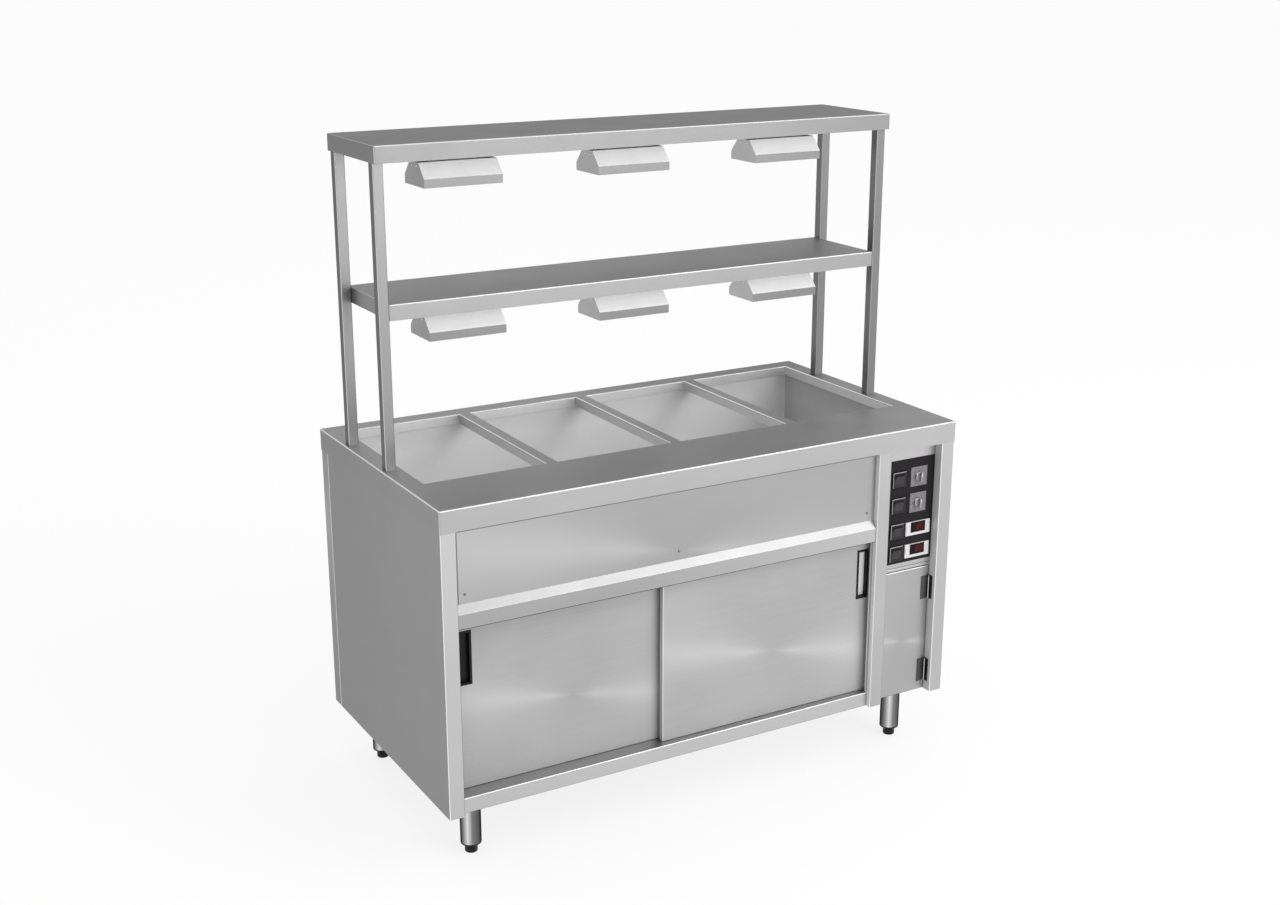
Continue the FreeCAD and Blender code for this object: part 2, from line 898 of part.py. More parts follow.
def top_track():
    """Twin track over the doors, hung from the header's flange."""
    t = track_sheet
    flange_y = front(upper_setback) + 2 * body_sheet
    turn_y = front(door_return) + seam
    last_y = door_middle(1) + track_reach
    x0 = stile_left_x + seam
    x1 = mullion_left_x - seam
    flange = box(x0, x1, flange_y, flange_y + t, track_roof_z, flange_top)
    front_roof = box(x0, x1, flange_y, turn_y, track_roof_z, track_roof_z + t)
    roof = box(-inner_x, wall_x, turn_y, last_y + t, track_roof_z, track_roof_z + t)
    pieces = [front_roof, roof]
    walls = [(door_middle(0) - track_reach - t, door_middle(0) - track_reach),
             (door_middle(0) + track_reach, door_middle(1) - track_reach), (last_y, last_y + t)]
    for y0, y1 in walls:
        pieces.append(box(-inner_x, wall_x, y0, y1, track_lip_z, track_roof_z))
    for index in (0, 1):
        y = door_middle(index)
        for y0, y1 in ((y - track_reach, y - track_slot / 2), (y + track_slot / 2, y + track_reach)):
            pieces.append(box(-inner_x, wall_x, y0, y1, track_lip_z, track_lip_z + t))
    return fuse(flange, *pieces)


def bottom_guides():
    """Fins on the ledge that run in the slots under the doors."""
    guides = []
    half = guide_length / 2
    for index in (0, 1):
        y = door_middle(index)
        guides.append(box(overlap_x - half, overlap_x + half, y - guide_fin / 2, y + guide_fin / 2,
                          floor_top, floor_top + guide_rise))
    return guides


def door_tracks():
    return [top_track()] + bottom_guides()


def door_hangers(index):
    """Hanger plates on a door's top edge, each with a glide over the track's lips."""
    pieces = []
    y = door_middle(index)
    half = hanger_length / 2
    foot_y = hanger_foot_width / 2
    foot_top = door_top + hanger_sheet
    plate_top = foot_top + hanger_height
    glide_z = track_lip_z + track_sheet + fit_gap
    glide_reach = track_reach - fit_gap
    for x in (door_x(index) + hanger_inset, door_x(index) + door_width - hanger_inset):
        foot = box(x - half, x + half, y - foot_y, y + foot_y, door_top, foot_top)
        plate = box(x - half, x + half, y - hanger_sheet / 2, y + hanger_sheet / 2, door_top, plate_top)
        pieces.append(fuse(foot, plate))
        for side in (-1, 1):
            y0 = y + side * hanger_sheet / 2
            y1 = y + side * glide_reach
            pieces.append(box(x - half, x + half, min(y0, y1), max(y0, y1), glide_z, glide_z + glide_height))
    return pieces


# Sliding doors and their pulls

def pull_x(index):
    """Left edge of a door's pull."""
    if index == 0:
        return right_door_x + door_width - pull_margin - pull_width
    return left_door_x + pull_margin


def sliding_door(index):
    x0 = door_x(index)
    x1 = x0 + door_width
    y0 = door_y(index)
    skin = door_pan(x0, x1, y0, y0 + door_thickness, door_bottom, door_top, door_sheet, door_fold)
    hole = box(pull_x(index) + pull_frame, pull_x(index) + pull_width - pull_frame,
               y0 - cut_over, y0 + door_sheet + cut_over,
               pull_top - pull_height + pull_frame, pull_top - pull_frame)
    slot = box(x0 + guide_slot_end, x1 - guide_slot_end,
               door_middle(index) - guide_slot / 2, door_middle(index) + guide_slot / 2,
               door_bottom - cut_over, door_bottom + door_sheet + cut_over)
    return [cut(skin, hole, slot)]


def door_pull(index):
    """Frame on a door's face round a shallow cup for the fingers."""
    x0 = pull_x(index)
    x1 = x0 + pull_width
    y0 = door_y(index)
    z0 = pull_top - pull_height
    face = y0 - pull_proud
    frame = box(x0, x1, face, y0, z0, pull_top)
    frame = round_edges(frame, pull_proud / 2, lambda b: facing(b, face))
    step = pull_frame + fit_gap
    cup = box(x0 + step, x1 - step, y0, y0 + pull_recess + pull_wall, z0 + step, pull_top - step)
    step = pull_frame + fit_gap + pull_wall
    room = box(x0 + step, x1 - step, face - cut_over, y0 + pull_recess, z0 + step, pull_top - step)
    return [cut(fuse(frame, cup), room)]


# Shelf inside the cupboard

def cupboard_shelf():
    """Removable shelf, and the angles that it rests on."""
    z = floor_top + shelf_rise
    y0 = front(ledge_depth) + shelf_front_gap
    y1 = inner_back_y - shelf_side_gap
    x0 = -tuck_x
    low = z - shelf_edge
    pieces = [pan(x0 + shelf_side_gap, wall_x - shelf_side_gap, y0, y1, low, z, shelf_sheet, shelf_fold)]
    foot = low - bracket_leg
    left = [(bracket_leg - inner_x, low), (-inner_x, low), (-inner_x, foot)]
    right = [(wall_x, foot), (wall_x, low), (wall_x - bracket_leg, low)]
    for path in (left, right):
        section = folded(path, bracket_sheet, bracket_fold)
        for share in bracket_shares:
            start = y0 + (y1 - y0) * share
            pieces.append(along_y(section, start, start + bracket_length))
    return pieces


# Legs and feet

def leg_places():
    return [(side * leg_x, y) for y in (leg_front_y, leg_back_y) for side in (-1, 1)]


def leg_tubes():
    return [tube(x, y, collar_top, Z_AXIS, leg_tube_d, leg_tube_d - 2 * leg_tube_wall, leg_top - collar_top)
            for x, y in leg_places()]


def leg_collars():
    """Plugs in the tubes' ends, each with a rim and a taper under it, bored for the foot's stem."""
    collars = []
    plug_d = leg_tube_d - 2 * leg_tube_wall - 2 * fit_gap
    taper = collar_height - collar_rim
    for x, y in leg_places():
        cone = Part.makeCone(collar_small_d / 2, leg_tube_d / 2, taper, Vector(x, y, foot_height), Z_AXIS)
        rim = rod(x, y, foot_height + taper, Z_AXIS, leg_tube_d, collar_rim)
        plug = rod(x, y, collar_top, Z_AXIS, plug_d, collar_plug)
        bore = rod(x, y, 0, Z_AXIS, foot_stem_d + 2 * fit_gap, leg_top)
        collars.append(cut(fuse(cone, rim, plug), bore))
    return collars


def foot(index):
    x, y = leg_places()[index]
    pad = rod(x, y, 0, Z_AXIS, foot_d, foot_height - fit_gap)
    pad = round_edges(pad, foot_round, lambda b: level(b, 0))
    stem = rod(x, y, foot_height / 2, Z_AXIS, foot_stem_d, foot_stem_length)
    return [fuse(pad, stem)]


# Control panel

def row_z(row):
    """Height of a row of controls, counted from the top."""
    return overlay_bottom + (overlay_top - overlay_bottom) * row_shares[row]


def centred(x, z, width, height, y0, y1):
    """Box with its centre at (x, z), seen from the front."""
    return box(x - width / 2, x + width / 2, y0, y1, z - height / 2, z + height / 2)


def switch_body_size():
    return switch_width - 2 * switch_rim, switch_height - 2 * switch_rim


def panel_holes():
    """Holes through the panel and its overlay for all that is mounted on them."""
    y0 = overlay_y - cut_over
    y1 = panel_back_y + cut_over
    width, height = switch_body_size()
    holes = [centred(switch_x, row_z(row), width, height, y0, y1) for row in range(len(row_shares))]
    for row in range(dial_count):
        holes.append(rod(dial_x, y0, row_z(row), Y_AXIS, shaft_d + 2 * fit_gap, y1 - y0))
    for row in range(dial_count, dial_count + controller_count):
        holes.append(centred(controller_x, row_z(row), controller_body_width, controller_body_height,
                             y0, y1))
    return holes


def control_panel():
    """Recessed panel with its sides folded back, and the cross rail below it."""
    x0 = mullion_right_x + seam
    x1 = stile_right_x - seam
    back = panel_y + panel_flange
    path = [(x0, back), (x0, panel_y), (x1, panel_y), (x1, back)]
    plate = along_z(folded(path, panel_sheet, panel_fold), panel_bottom, body_top)
    low = service_top + cross_rail_gap
    high = panel_bottom - cross_rail_gap
    turn = panel_y + cross_rail_depth
    path = [(turn, high), (panel_y, high), (panel_y, low), (turn, low)]
    rail = along_x(folded(path, body_sheet, panel_fold), mullion_right_x, stile_right_x)
    return [cut(plate, *panel_holes()), rail]


def control_overlay():
    sheet = box(mullion_right_x + overlay_left_gap, stile_right_x - overlay_right_gap, overlay_y, panel_y,
                overlay_bottom, overlay_top)
    return [cut(sheet, *panel_holes())]


def switch_bezels():
    """Square switch frames on the overlay, each with its body behind the panel."""
    bezels = []
    width, height = switch_body_size()
    wall = 2 * switch_wall + 2 * fit_gap
    for row in range(len(row_shares)):
        z = row_z(row)
        frame = centred(switch_x, z, switch_width, switch_height, bezel_y, overlay_y)
        frame = round_edges(frame, controller_round, lambda b: facing(b, bezel_y))
        body = centred(switch_x, z, width - 2 * fit_gap, height - 2 * fit_gap,
                       overlay_y, panel_back_y + switch_body_depth)
        well = centred(switch_x, z, width - wall, height - wall, bezel_y - cut_over, overlay_y + switch_well)
        pin_length = width - wall + 2 * switch_wall * pin_seat_share + 2 * pin_gap
        pin_hole = rod(switch_x - pin_length / 2, overlay_y, z, X_AXIS,
                       rocker_pin_d + 2 * pin_gap, pin_length)
        bezels.append(cut(fuse(frame, body), well, pin_hole))
    return bezels


def rocker(row):
    """Rocker cap on its pin, with its lower half pressed in flush."""
    z = row_z(row)
    width, height = switch_body_size()
    wall = 2 * switch_wall + 2 * fit_gap
    half_w = (width - wall) / 2 - rocker_side_gap
    half_h = (height - wall) / 2 - rocker_end_gap
    rise = half_h * math.tan(math.radians(rocker_tilt))
    back = bezel_y + rocker_depth
    section = [(bezel_y, z), (bezel_y - rise, z + half_h), (back, z + half_h),
               (back, z - half_h), (bezel_y - rise, z - half_h)]
    cap = along_x(face_of(section), switch_x - half_w, switch_x + half_w)
    pin_length = width - wall + 2 * switch_wall * pin_seat_share
    pin = rod(switch_x - pin_length / 2, overlay_y, z, X_AXIS, rocker_pin_d, pin_length)
    return [fuse(cap, pin).rotated(Vector(switch_x, overlay_y, z), X_AXIS, rocker_tilt)]


def dial_plates():
    plates = []
    for row in range(dial_count):
        plate = centred(dial_x, row_z(row), dial_width, dial_height, dial_y, overlay_y)
        hole = rod(dial_x, dial_y - cut_over, row_z(row), Y_AXIS, shaft_d + 2 * fit_gap,
                   dial_thick + 2 * cut_over)
        plates.append(plate.cut(hole))
    return plates


def knob(row):
    """Round knob with a tapered finger bar, on its shaft."""
    z = row_z(row)
    back = dial_y - fit_gap
    face = back - knob_skirt
    tip_y = face - knob_bar_height
    skirt = rod(dial_x, face, z, Y_AXIS, knob_d, knob_skirt)
    skirt = round_edges(skirt, knob_round, lambda b: facing(b, face))
    half = knob_bar_width / 2
    tip = half * knob_tip_share
    reach = knob_bar_length / 2
    outline = [(dial_x - half, z - reach), (dial_x + half, z - reach), (dial_x + tip, z + reach),
               (dial_x - tip, z + reach)]
    bar = along_y(face_of(outline), tip_y, back)
    bar = round_edges(bar, knob_round, lambda b: facing(b, tip_y))
    shaft = rod(dial_x, back - knob_skirt / 2, z, Y_AXIS, shaft_d, knob_skirt / 2 + shaft_length)
    return [fuse(skirt, bar, shaft)]


def temperature_controllers():
    """Controller fronts on the overlay, each with its body behind the panel."""
    units = []
    for row in range(dial_count, dial_count + controller_count):
        z = row_z(row)
        front_piece = centred(controller_x, z, controller_width, controller_height, controller_y, overlay_y)
        front_piece = round_edges(front_piece, controller_round, lambda b: facing(b, controller_y))
        body = centred(controller_x, z, controller_body_width - 2 * fit_gap,
                       controller_body_height - 2 * fit_gap, overlay_y, panel_back_y + controller_body_depth)
        window_z = z + controller_height / 2 - display_margin - display_height / 2
        window = centred(controller_x, window_z, display_width, display_height,
                         controller_y - cut_over, controller_y + display_recess)
        unit = cut(fuse(front_piece, body), window)
        for side in (-1, 1):
            pocket = centred(key_x(side), z, key_width + 2 * key_gap, key_height + 2 * key_gap,
                             controller_y - cut_over, controller_y + key_depth + key_travel + key_gap)
            unit = unit.cut(pocket)
        units.append(unit)
    return units


def key_x(side):
    """X of a key in the middle of a controller's left (-1) or right (1) wing."""
    return controller_x + side * (controller_width + display_width) / 4


def controller_key(index):
    row = dial_count + index // key_count
    side = -1 if index % key_count == 0 else 1
    face = controller_y - key_proud
    key = centred(key_x(side), row_z(row), key_width, key_height, face, controller_y + key_depth)
    return [round_edges(key, key_round, lambda b: facing(b, face))]


# Service bay

def gland_x():
    return side_x - gland_in_x


def gland_y():
    return back_y - gland_in_y


def bay_electrics():
    """Dial regulators, terminal block and the supply cable's gland."""
    pieces = []
    for row in range(dial_count):
        body = centred(dial_x, row_z(row), regulator_size, regulator_height, panel_back_y,
                       panel_back_y + regulator_depth)
        hole = rod(dial_x, panel_back_y - cut_over, row_z(row), Y_AXIS, shaft_d + 2 * fit_gap,
                   shaft_length + cut_over)
        pieces.append(body.cut(hole))
    y0 = front(terminal_in_y)
    z0 = base_top + terminal_rise
    pieces.append(box(mullion_right_x, mullion_right_x + terminal_height, y0, y0 + terminal_length,
                      z0, z0 + terminal_depth))
    pieces.append(cable_gland())
    return pieces


def cable_gland():
    x = gland_x()
    y = gland_y()
    low = body_bottom - gland_nut_height
    nut = hexagon(x, y, gland_nut_d, low, body_bottom)
    thread = rod(x, y, low, Z_AXIS, gland_d, 2 * gland_nut_height + body_sheet)
    lock_nut = hexagon(x, y, gland_nut_d, base_top, base_top + gland_nut_height)
    dome = rod(x, y, low - gland_length, Z_AXIS, gland_d, gland_length)
    bore = rod(x, y, low - gland_length, Z_AXIS, cable_hole_d, bench_height)
    return cut(fuse(nut, thread, lock_nut, dome), bore)


def service_door():
    """Hinged door over the service bay, with the strike for its catch."""
    x0 = mullion_right_x + service_left_gap
    x1 = stile_right_x - service_right_gap
    back = panel_y + service_thickness
    z0 = body_bottom + service_foot_gap
    skin = door_pan(x0, x1, panel_y, back, z0, service_top, door_sheet, door_fold)
    strike = box(x0 + door_sheet / 2, x0 + catch_size, back - door_sheet, back,
                 catch_height, catch_height + catch_length)
    return [fuse(skin, strike)]


def door_catch():
    """Magnetic catch that the closed service door's strike rests against."""
    y0 = panel_y + service_thickness + fit_gap
    return [box(mullion_right_x, mullion_right_x + catch_size, y0, y0 + catch_depth,
                catch_height, catch_height + catch_length)]


# Hinges of the service door

def hinge_z(index):
    """Middle of a hinge, counted from the bottom."""
    low = body_bottom + service_foot_gap
    return low + (service_top - low) * hinge_shares[index]


def knuckle(index, place):
    """Lowest and highest point of one knuckle of a hinge."""
    pitch = hinge_length / knuckle_count
    low = hinge_z(index) - hinge_length / 2 + place * pitch
    return low + knuckle_gap / 2, low + pitch - knuckle_gap / 2


def barrel(low, high, bore):
    """One knuckle round the pin."""
    return tube(hinge_x, hinge_y, low, Z_AXIS, 2 * knuckle_r, bore, high - low)


def hinge_fixed_leaves():
    """Leaves on the stile, with each hinge's outer knuckles."""
    leaves = []
    leaf_x = stile_right_x - hinge_leaf
    for index in range(len(hinge_shares)):
        z = hinge_z(index)
        leaf = box(leaf_x, stile_right_x, hinge_y - hinge_reach_ahead, hinge_y + hinge_reach_behind,
                   z - hinge_length / 2, z + hinge_length / 2)
        pin_room = rod(hinge_x, hinge_y, z - hinge_length / 2, Z_AXIS, hinge_pin_d, hinge_length)
        for place in (0, knuckle_count - 1):
            low, high = knuckle(index, place)
            web = box(hinge_x, stile_right_x, hinge_y - hinge_leaf / 2, hinge_y + hinge_leaf / 2, low, high)
            leaf = leaf.fuse(barrel(low, high, hinge_pin_d)).fuse(web)
        leaves.append(leaf.cut(pin_room).removeSplitter())
    return leaves


def hinge_moving_leaves():
    """Leaves on the door's face, with each hinge's middle knuckle and screws."""
    pieces = []
    x1 = hinge_x - hinge_leaf_gap
    x0 = x1 - hinge_leaf_width
    leaf_y = panel_y - hinge_leaf
    for index in range(len(hinge_shares)):
        z = hinge_z(index)
        low, high = knuckle(index, 1)
        bore = hinge_pin_d + fit_gap
        leaf = box(x0, x1, leaf_y, panel_y, z - hinge_length / 2, z + hinge_length / 2)
        tongue = box(x1, hinge_x, leaf_y, panel_y, low, high)
        neck = box(hinge_x - knuckle_r, hinge_x - bore / 2 - hinge_leaf / 2, hinge_y, leaf_y, low, high)
        pieces.append(fuse(leaf, tongue, neck, barrel(low, high, bore)))
        for side in (-1, 1):
            height = z + side * leaf_screw_share * hinge_length
            pieces.append(rod((x0 + x1) / 2, leaf_y - leaf_screw_head, height, Y_AXIS,
                              leaf_screw_d, leaf_screw_head))
    return pieces


def hinge_pins():
    return [rod(hinge_x, hinge_y, hinge_z(index) - hinge_length / 2, Z_AXIS, hinge_pin_d, hinge_length)
            for index in range(len(hinge_shares))]


# Screws and bolts that stay put

def panel_screws():
    """Round heads along the lower edge of the upper front panel."""
    heads = []
    first = stile_left_x + panel_screw_side
    pitch = (mullion_left_x - panel_screw_side - first) / (panel_screw_count - 1)
    face = front(upper_setback) - panel_screw_head
    for index in range(panel_screw_count):
        head = rod(first + index * pitch, face, header_top + panel_screw_rise, Y_AXIS,
                   panel_screw_d, panel_screw_head)
        heads.append(round_edges(head, panel_screw_head / 2, lambda b: facing(b, face)))
    return heads


def leg_bolts():
    """Hexagon heads under each leg's plate."""
    heads = []
    reach = leg_plate_size / 2 - bolt_inset
    for x, y in leg_places():
        for side_a in (-1, 1):
            for side_b in (-1, 1):
                heads.append(hexagon(x + side_a * reach, y + side_b * reach, bolt_head_d,
                                     leg_top - bolt_head_height, leg_top))
    return heads


def leaf_screws():
    """Flat heads on the hinges' fixed leaves."""
    heads = []
    face = stile_right_x - hinge_leaf
    y = hinge_y - (hinge_reach_ahead + knuckle_r) / 2
    for index in range(len(hinge_shares)):
        for side in (-1, 1):
            height = hinge_z(index) + side * leaf_screw_share * hinge_length
            heads.append(rod(face - leaf_screw_head, y, height, X_AXIS, leaf_screw_d, leaf_screw_head))
    return heads


def screws():
    return panel_screws() + leg_bolts() + leaf_screws()


# Gantry

def gantry_posts():
    posts = []
    top = top_shelf_height - shelf_pan_fold
    t = post_wall
    for x0 in (-post_x, post_x - post_size):
        for y0 in (gantry_front_y, gantry_back_y - post_size):
            x1 = x0 + post_size
            y1 = y0 + post_size
            post = round_edges(box(x0, x1, y0, y1, bench_height, top), post_fold, upright)
            room = box(x0 + t, x1 - t, y0 + t, y1 - t, bench_height - cut_over, top + cut_over)
            posts.append(post.cut(round_edges(room, post_fold - t, upright)))
    return posts


def mid_shelf():
    reach = post_x - post_size
    return [pan(-reach, reach, gantry_front_y, gantry_back_y, mid_shelf_height - mid_shelf_edge,
                mid_shelf_height, shelf_pan, shelf_pan_fold)]


def top_shelf():
    reach = post_x + shelf_pan
    return [pan(-reach, reach, gantry_front_y - top_shelf_overhang, gantry_back_y + top_shelf_overhang,
                top_shelf_height - top_shelf_edge, top_shelf_height, shelf_pan, shelf_pan_fold)]


# Heat lamps

def lamps():
    """Left end and bottom of every lamp's hood."""
    places = []
    for shelf_height in (mid_shelf_height, top_shelf_height):
        z0 = shelf_height - shelf_pan - lamp_hang - lamp_height
        for index in range(lamp_count):
            x0 = (index - (lamp_count - 1) / 2) * lamp_pitch - lamp_length / 2
            places.append((x0, z0))
    return places


def hood_section(z0):
    """Hood seen from its end, as a path that runs over it from front to back."""
    half = lamp_width / 2
    half_top = lamp_top_width / 2
    y = gantry_behind
    return [(y - half, z0), (y - half, z0 + lamp_skirt), (y - half_top, z0 + lamp_height),
            (y + half_top, z0 + lamp_height), (y + half, z0 + lamp_skirt), (y + half, z0)]


def lamp_housings():
    """Hoods of folded sheet with welded ends, open below."""
    hoods = []
    for x0, z0 in lamps():
        x1 = x0 + lamp_length
        shell = along_x(folded(hood_section(z0)[::-1], lamp_sheet, lamp_fold), x0, x1)
        hoods.append(fuse(shell, hood_end(z0, x0), hood_end(z0, x1 - lamp_sheet)))
    return hoods


def hood_end(z0, x0):
    """Flat end plate that fills the hood's section."""
    path = hood_section(z0)
    edges = rounded_line([Vector(y, z, 0) for y, z in path], [lamp_fold] * (len(path) - 2))
    edges.append(Part.LineSegment(Vector(*path[-1], 0), Vector(*path[0], 0)).toShape())
    return along_x(Part.Face(Part.Wire(edges)), x0, x0 + lamp_sheet)


def lamp_tubes():
    """Tube lamps, each held between two sockets inside its hood."""
    pieces = []
    half = holder_width / 2
    for x0, z0 in lamps():
        z = z0 + lamp_tube_rise
        top = z0 + lamp_height - lamp_sheet
        left = x0 + lamp_sheet
        right = x0 + lamp_length - lamp_sheet
        inset = holder_length - holder_grip + fit_gap
        pieces.append(rod(left + inset, gantry_behind, z, X_AXIS, lamp_tube_d, right - left - 2 * inset))
        near_mouth = left + holder_length - holder_grip
        far = right - holder_length
        for a, mouth in ((left, near_mouth), (far, far)):
            block = box(a, a + holder_length, gantry_behind - half, gantry_behind + half, z - half, top)
            socket = rod(mouth, gantry_behind, z, X_AXIS, lamp_tube_d + 2 * fit_gap, holder_grip)
            pieces.append(block.cut(socket))
    return pieces


def lamp_brackets():
    """Straps from each hood's flat top up to the shelf."""
    brackets = []
    half = lamp_bracket_base / 2
    wide = half + lamp_bracket_flange
    y = gantry_behind
    for x0, z0 in lamps():
        low = z0 + lamp_height
        high = low + lamp_hang - lamp_bracket_sheet
        path = [(y - wide, high), (y - half, high), (y - half, low), (y + half, low), (y + half, high),
                (y + wide, high)]
        section = folded(path, lamp_bracket_sheet, lamp_bracket_fold)
        far = lamp_length - lamp_bracket_inset - lamp_bracket_width
        for inset in (lamp_bracket_inset, far):
            brackets.append(along_x(section, x0 + inset, x0 + inset + lamp_bracket_width))
    return brackets


# Every node by name, each as a list of separate solids

def nodes():
    fixed = [benchtop, water_tank, tank_jacket, heating_elements, element_guard, drain_pipe, drain_valve,
             drain_lever, back_panel, mullion, compartment_wall, floor_panels, base_channels, bottom_rail,
             upper_front_panel, door_header, door_tracks, cupboard_shelf, leg_tubes, leg_collars,
             control_panel, control_overlay, switch_bezels, dial_plates, temperature_controllers,
             bay_electrics, service_door, door_catch, hinge_fixed_leaves, hinge_moving_leaves, hinge_pins,
             screws, gantry_posts, mid_shelf, top_shelf, lamp_housings, lamp_tubes, lamp_brackets]
    made = {maker.__name__: maker() for maker in fixed}
    made["left_side_panel"] = side_panel(-1, door_return)
    made["right_side_panel"] = side_panel(1, service_return)
    for index, side in enumerate(("right", "left")):
        made[side + "_door"] = sliding_door(index)
        made[side + "_door_pull"] = door_pull(index)
        made[side + "_door_hangers"] = door_hangers(index)
    for index, place in enumerate(("front_left", "front_right", "back_left", "back_right")):
        made[place + "_foot"] = foot(index)
    for row in range(len(row_shares)):
        made["rocker_" + str(row + 1)] = rocker(row)
    for row in range(dial_count):
        made["knob_" + str(row + 1)] = knob(row)
    for index in range(controller_count * key_count):
        made["controller_key_" + str(index + 1)] = controller_key(index)
    return made


os.makedirs("parts", exist_ok=True)
for name, solids in nodes().items():
    shape = solids[0] if len(solids) == 1 else Part.makeCompound(solids)
    shape.exportStep("parts/" + name + ".step")
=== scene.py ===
import math

import bmesh
import bpy
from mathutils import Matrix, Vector


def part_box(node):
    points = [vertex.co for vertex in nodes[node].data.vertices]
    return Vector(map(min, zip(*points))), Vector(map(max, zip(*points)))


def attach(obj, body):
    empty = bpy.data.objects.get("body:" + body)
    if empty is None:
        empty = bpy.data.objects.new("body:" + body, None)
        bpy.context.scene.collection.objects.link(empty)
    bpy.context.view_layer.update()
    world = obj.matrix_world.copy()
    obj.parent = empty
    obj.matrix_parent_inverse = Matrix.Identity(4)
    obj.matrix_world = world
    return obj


# Looks of the hot food bain-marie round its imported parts. Metres, with the
# origin on the floor under the middle of the benchtop and +Z up.

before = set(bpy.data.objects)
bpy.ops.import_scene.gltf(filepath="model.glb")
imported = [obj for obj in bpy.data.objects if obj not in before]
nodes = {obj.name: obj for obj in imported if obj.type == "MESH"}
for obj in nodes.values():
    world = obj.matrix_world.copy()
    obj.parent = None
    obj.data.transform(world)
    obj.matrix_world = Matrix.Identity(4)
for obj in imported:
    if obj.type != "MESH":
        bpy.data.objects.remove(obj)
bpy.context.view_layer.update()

LEFT, RIGHT = -1, 1
QUARTER = math.pi / 2
TURN = 2 * math.pi

# Camera of the photograph
camera_place = (-2.076, -3.600, 2.091)
camera_tilt = 16.93
camera_turn = 29.96
camera_lens = 47.69
sensor_width = 36.0

# Studio
floor_size = 400.0
floor_glow = 0.80
floor_white = 1.0
floor_colour = (0.9, 0.9, 0.9, 1)
sky_low = (0.56, 0.56, 0.56, 1)
sky_high = (1.1, 1.1, 1.1, 1)
sky_band = (0.30, 0.75)
light_aim = (0, 0, 0.8)
front_softbox = {"place": (3.0, -8.0, 2.6), "width": 6.0, "height": 4.0, "power": 300}
key_softbox = {"place": (4.1, -5.1, 5.5), "width": 4.0, "height": 3.0, "power": 150}

# Finishes
steel_dark = (0, 0, 0, 1)
steel_light = (1, 1, 1, 1)
steel_roughness = 0.40
steel_edge_tint = (0.25, 0.25, 0.25, 1)
# Strength of the painted bow-tie highlights on the sheets
tie_strength = 0.30
grain_along = 7.0
grain_across = 900.0
cloud_scale = 3.5
streak_noise = (1.0, 3.0, 0.65)
smear_noise = (9.0, 4.0, 0.6)
noise_middle = 0.5
end_facing = 0.7
streak_contrast = 0.08
cloud_contrast = 0.10
roughness_spread = 0.10
scratch_depth = 0.00004
# Ranges of the painted light and shade by facing and on folds, and the heart of the painted bow tie
flat_facing = (0.80, 0.95)
bend_start = (0.04, 0.14)
bend_light = (-0.1, 0.1)
tie_heart = 0.004


class Value:
    """A socket's value, on which sums are written as plain expressions."""

    def __init__(self, tree, socket):
        self.tree = tree
        self.socket = socket

    def output(self, name):
        """Another output of the same node."""
        return Value(self.tree, self.socket.node.outputs[name])

    def maths(self, operation, *values):
        return self.tree.add("Math", {"operation": operation}, dict(enumerate(values)))

    def __add__(self, other):
        return self.maths("ADD", self, other)

    __radd__ = __add__

    def __sub__(self, other):
        return self.maths("SUBTRACT", self, other)

    def __rsub__(self, other):
        return self.maths("SUBTRACT", other, self)

    def __mul__(self, other):
        return self.maths("MULTIPLY", self, other)

    __rmul__ = __mul__

    def __truediv__(self, other):
        return self.maths("DIVIDE", self, other)

    def __rtruediv__(self, other):
        return self.maths("DIVIDE", other, self)

    def __pow__(self, other):
        return self.maths("POWER", self, other)

    def __abs__(self):
        return self.maths("ABSOLUTE", self)

    def __gt__(self, other):
        return self.maths("GREATER_THAN", self, other)

    def __lt__(self, other):
        return self.maths("LESS_THAN", self, other)

    def most(self, other):
        return self.maths("MAXIMUM", self, other)

    def rise(self, low, high):
        """0 up to low, 1 from high, and a straight rise between them."""
        return self.tree.add("MapRange", {"clamp": True}, {"Value": self, "From Min": low, "From Max": high})


class Tree:
    """The nodes of one material or of the world."""

    def __init__(self, owner):
        owner.use_nodes = True
        self.tree = owner.node_tree
        self.tree.nodes.clear()

    def add(self, kind, settings, inputs, output=0):
        node = self.tree.nodes.new("ShaderNode" + kind)
        for name, setting in settings.items():
            setattr(node, name, setting)
        for key, value in inputs.items():
            self.feed(node.inputs[key], value)
        return Value(self, node.outputs[output]) if node.outputs else node

    def feed(self, socket, value):
        if isinstance(value, Value):
            self.tree.links.new(value.socket, socket)
        else:
            socket.default_value = value

    def place(self):
        """Position on the piece, which moves with the piece."""
        return self.add("TexCoord", {}, {}).output("Object")

    def facing(self):
        """Direction that the surface faces, which moves with the piece."""
        return self.add("TexCoord", {}, {}).output("Normal")

    def slant(self):
        """How far a face is turned away from the axis that it is closest to."""
        x, y, z = self.split(self.facing())
        return 1 - abs(x).most(abs(y)).most(abs(z))

    def split(self, vector):
        parts = self.add("SeparateXYZ", {}, {"Vector": vector})
        return [parts.output(axis) for axis in "XYZ"]

    def stretched(self, vector, scale):
        return self.add("VectorMath", {"operation": "MULTIPLY"}, {0: vector, 1: scale})

    def noise(self, vector, scale, detail=2.0, roughness=0.5):
        return self.add("TexNoise", {}, {"Vector": vector, "Scale": scale, "Detail": detail,
                                         "Roughness": roughness})

    def mix(self, factor, first, second):
        """Colour between two colours."""
        return self.add("Mix", {"data_type": "RGBA"}, {0: factor, 6: first, 7: second}, 2)

    def mix_places(self, factor, first, second):
        return self.add("Mix", {"data_type": "VECTOR"}, {0: factor, 4: first, 5: second}, 1)

    def bump(self, height, depth, strength=1.0):
        return self.add("Bump", {}, {"Height": height, "Distance": depth, "Strength": strength})

    def principled(self, inputs):
        return self.add("BsdfPrincipled", {}, inputs)

    def surface(self, shader):
        self.add("OutputMaterial", {}, {"Surface": shader})


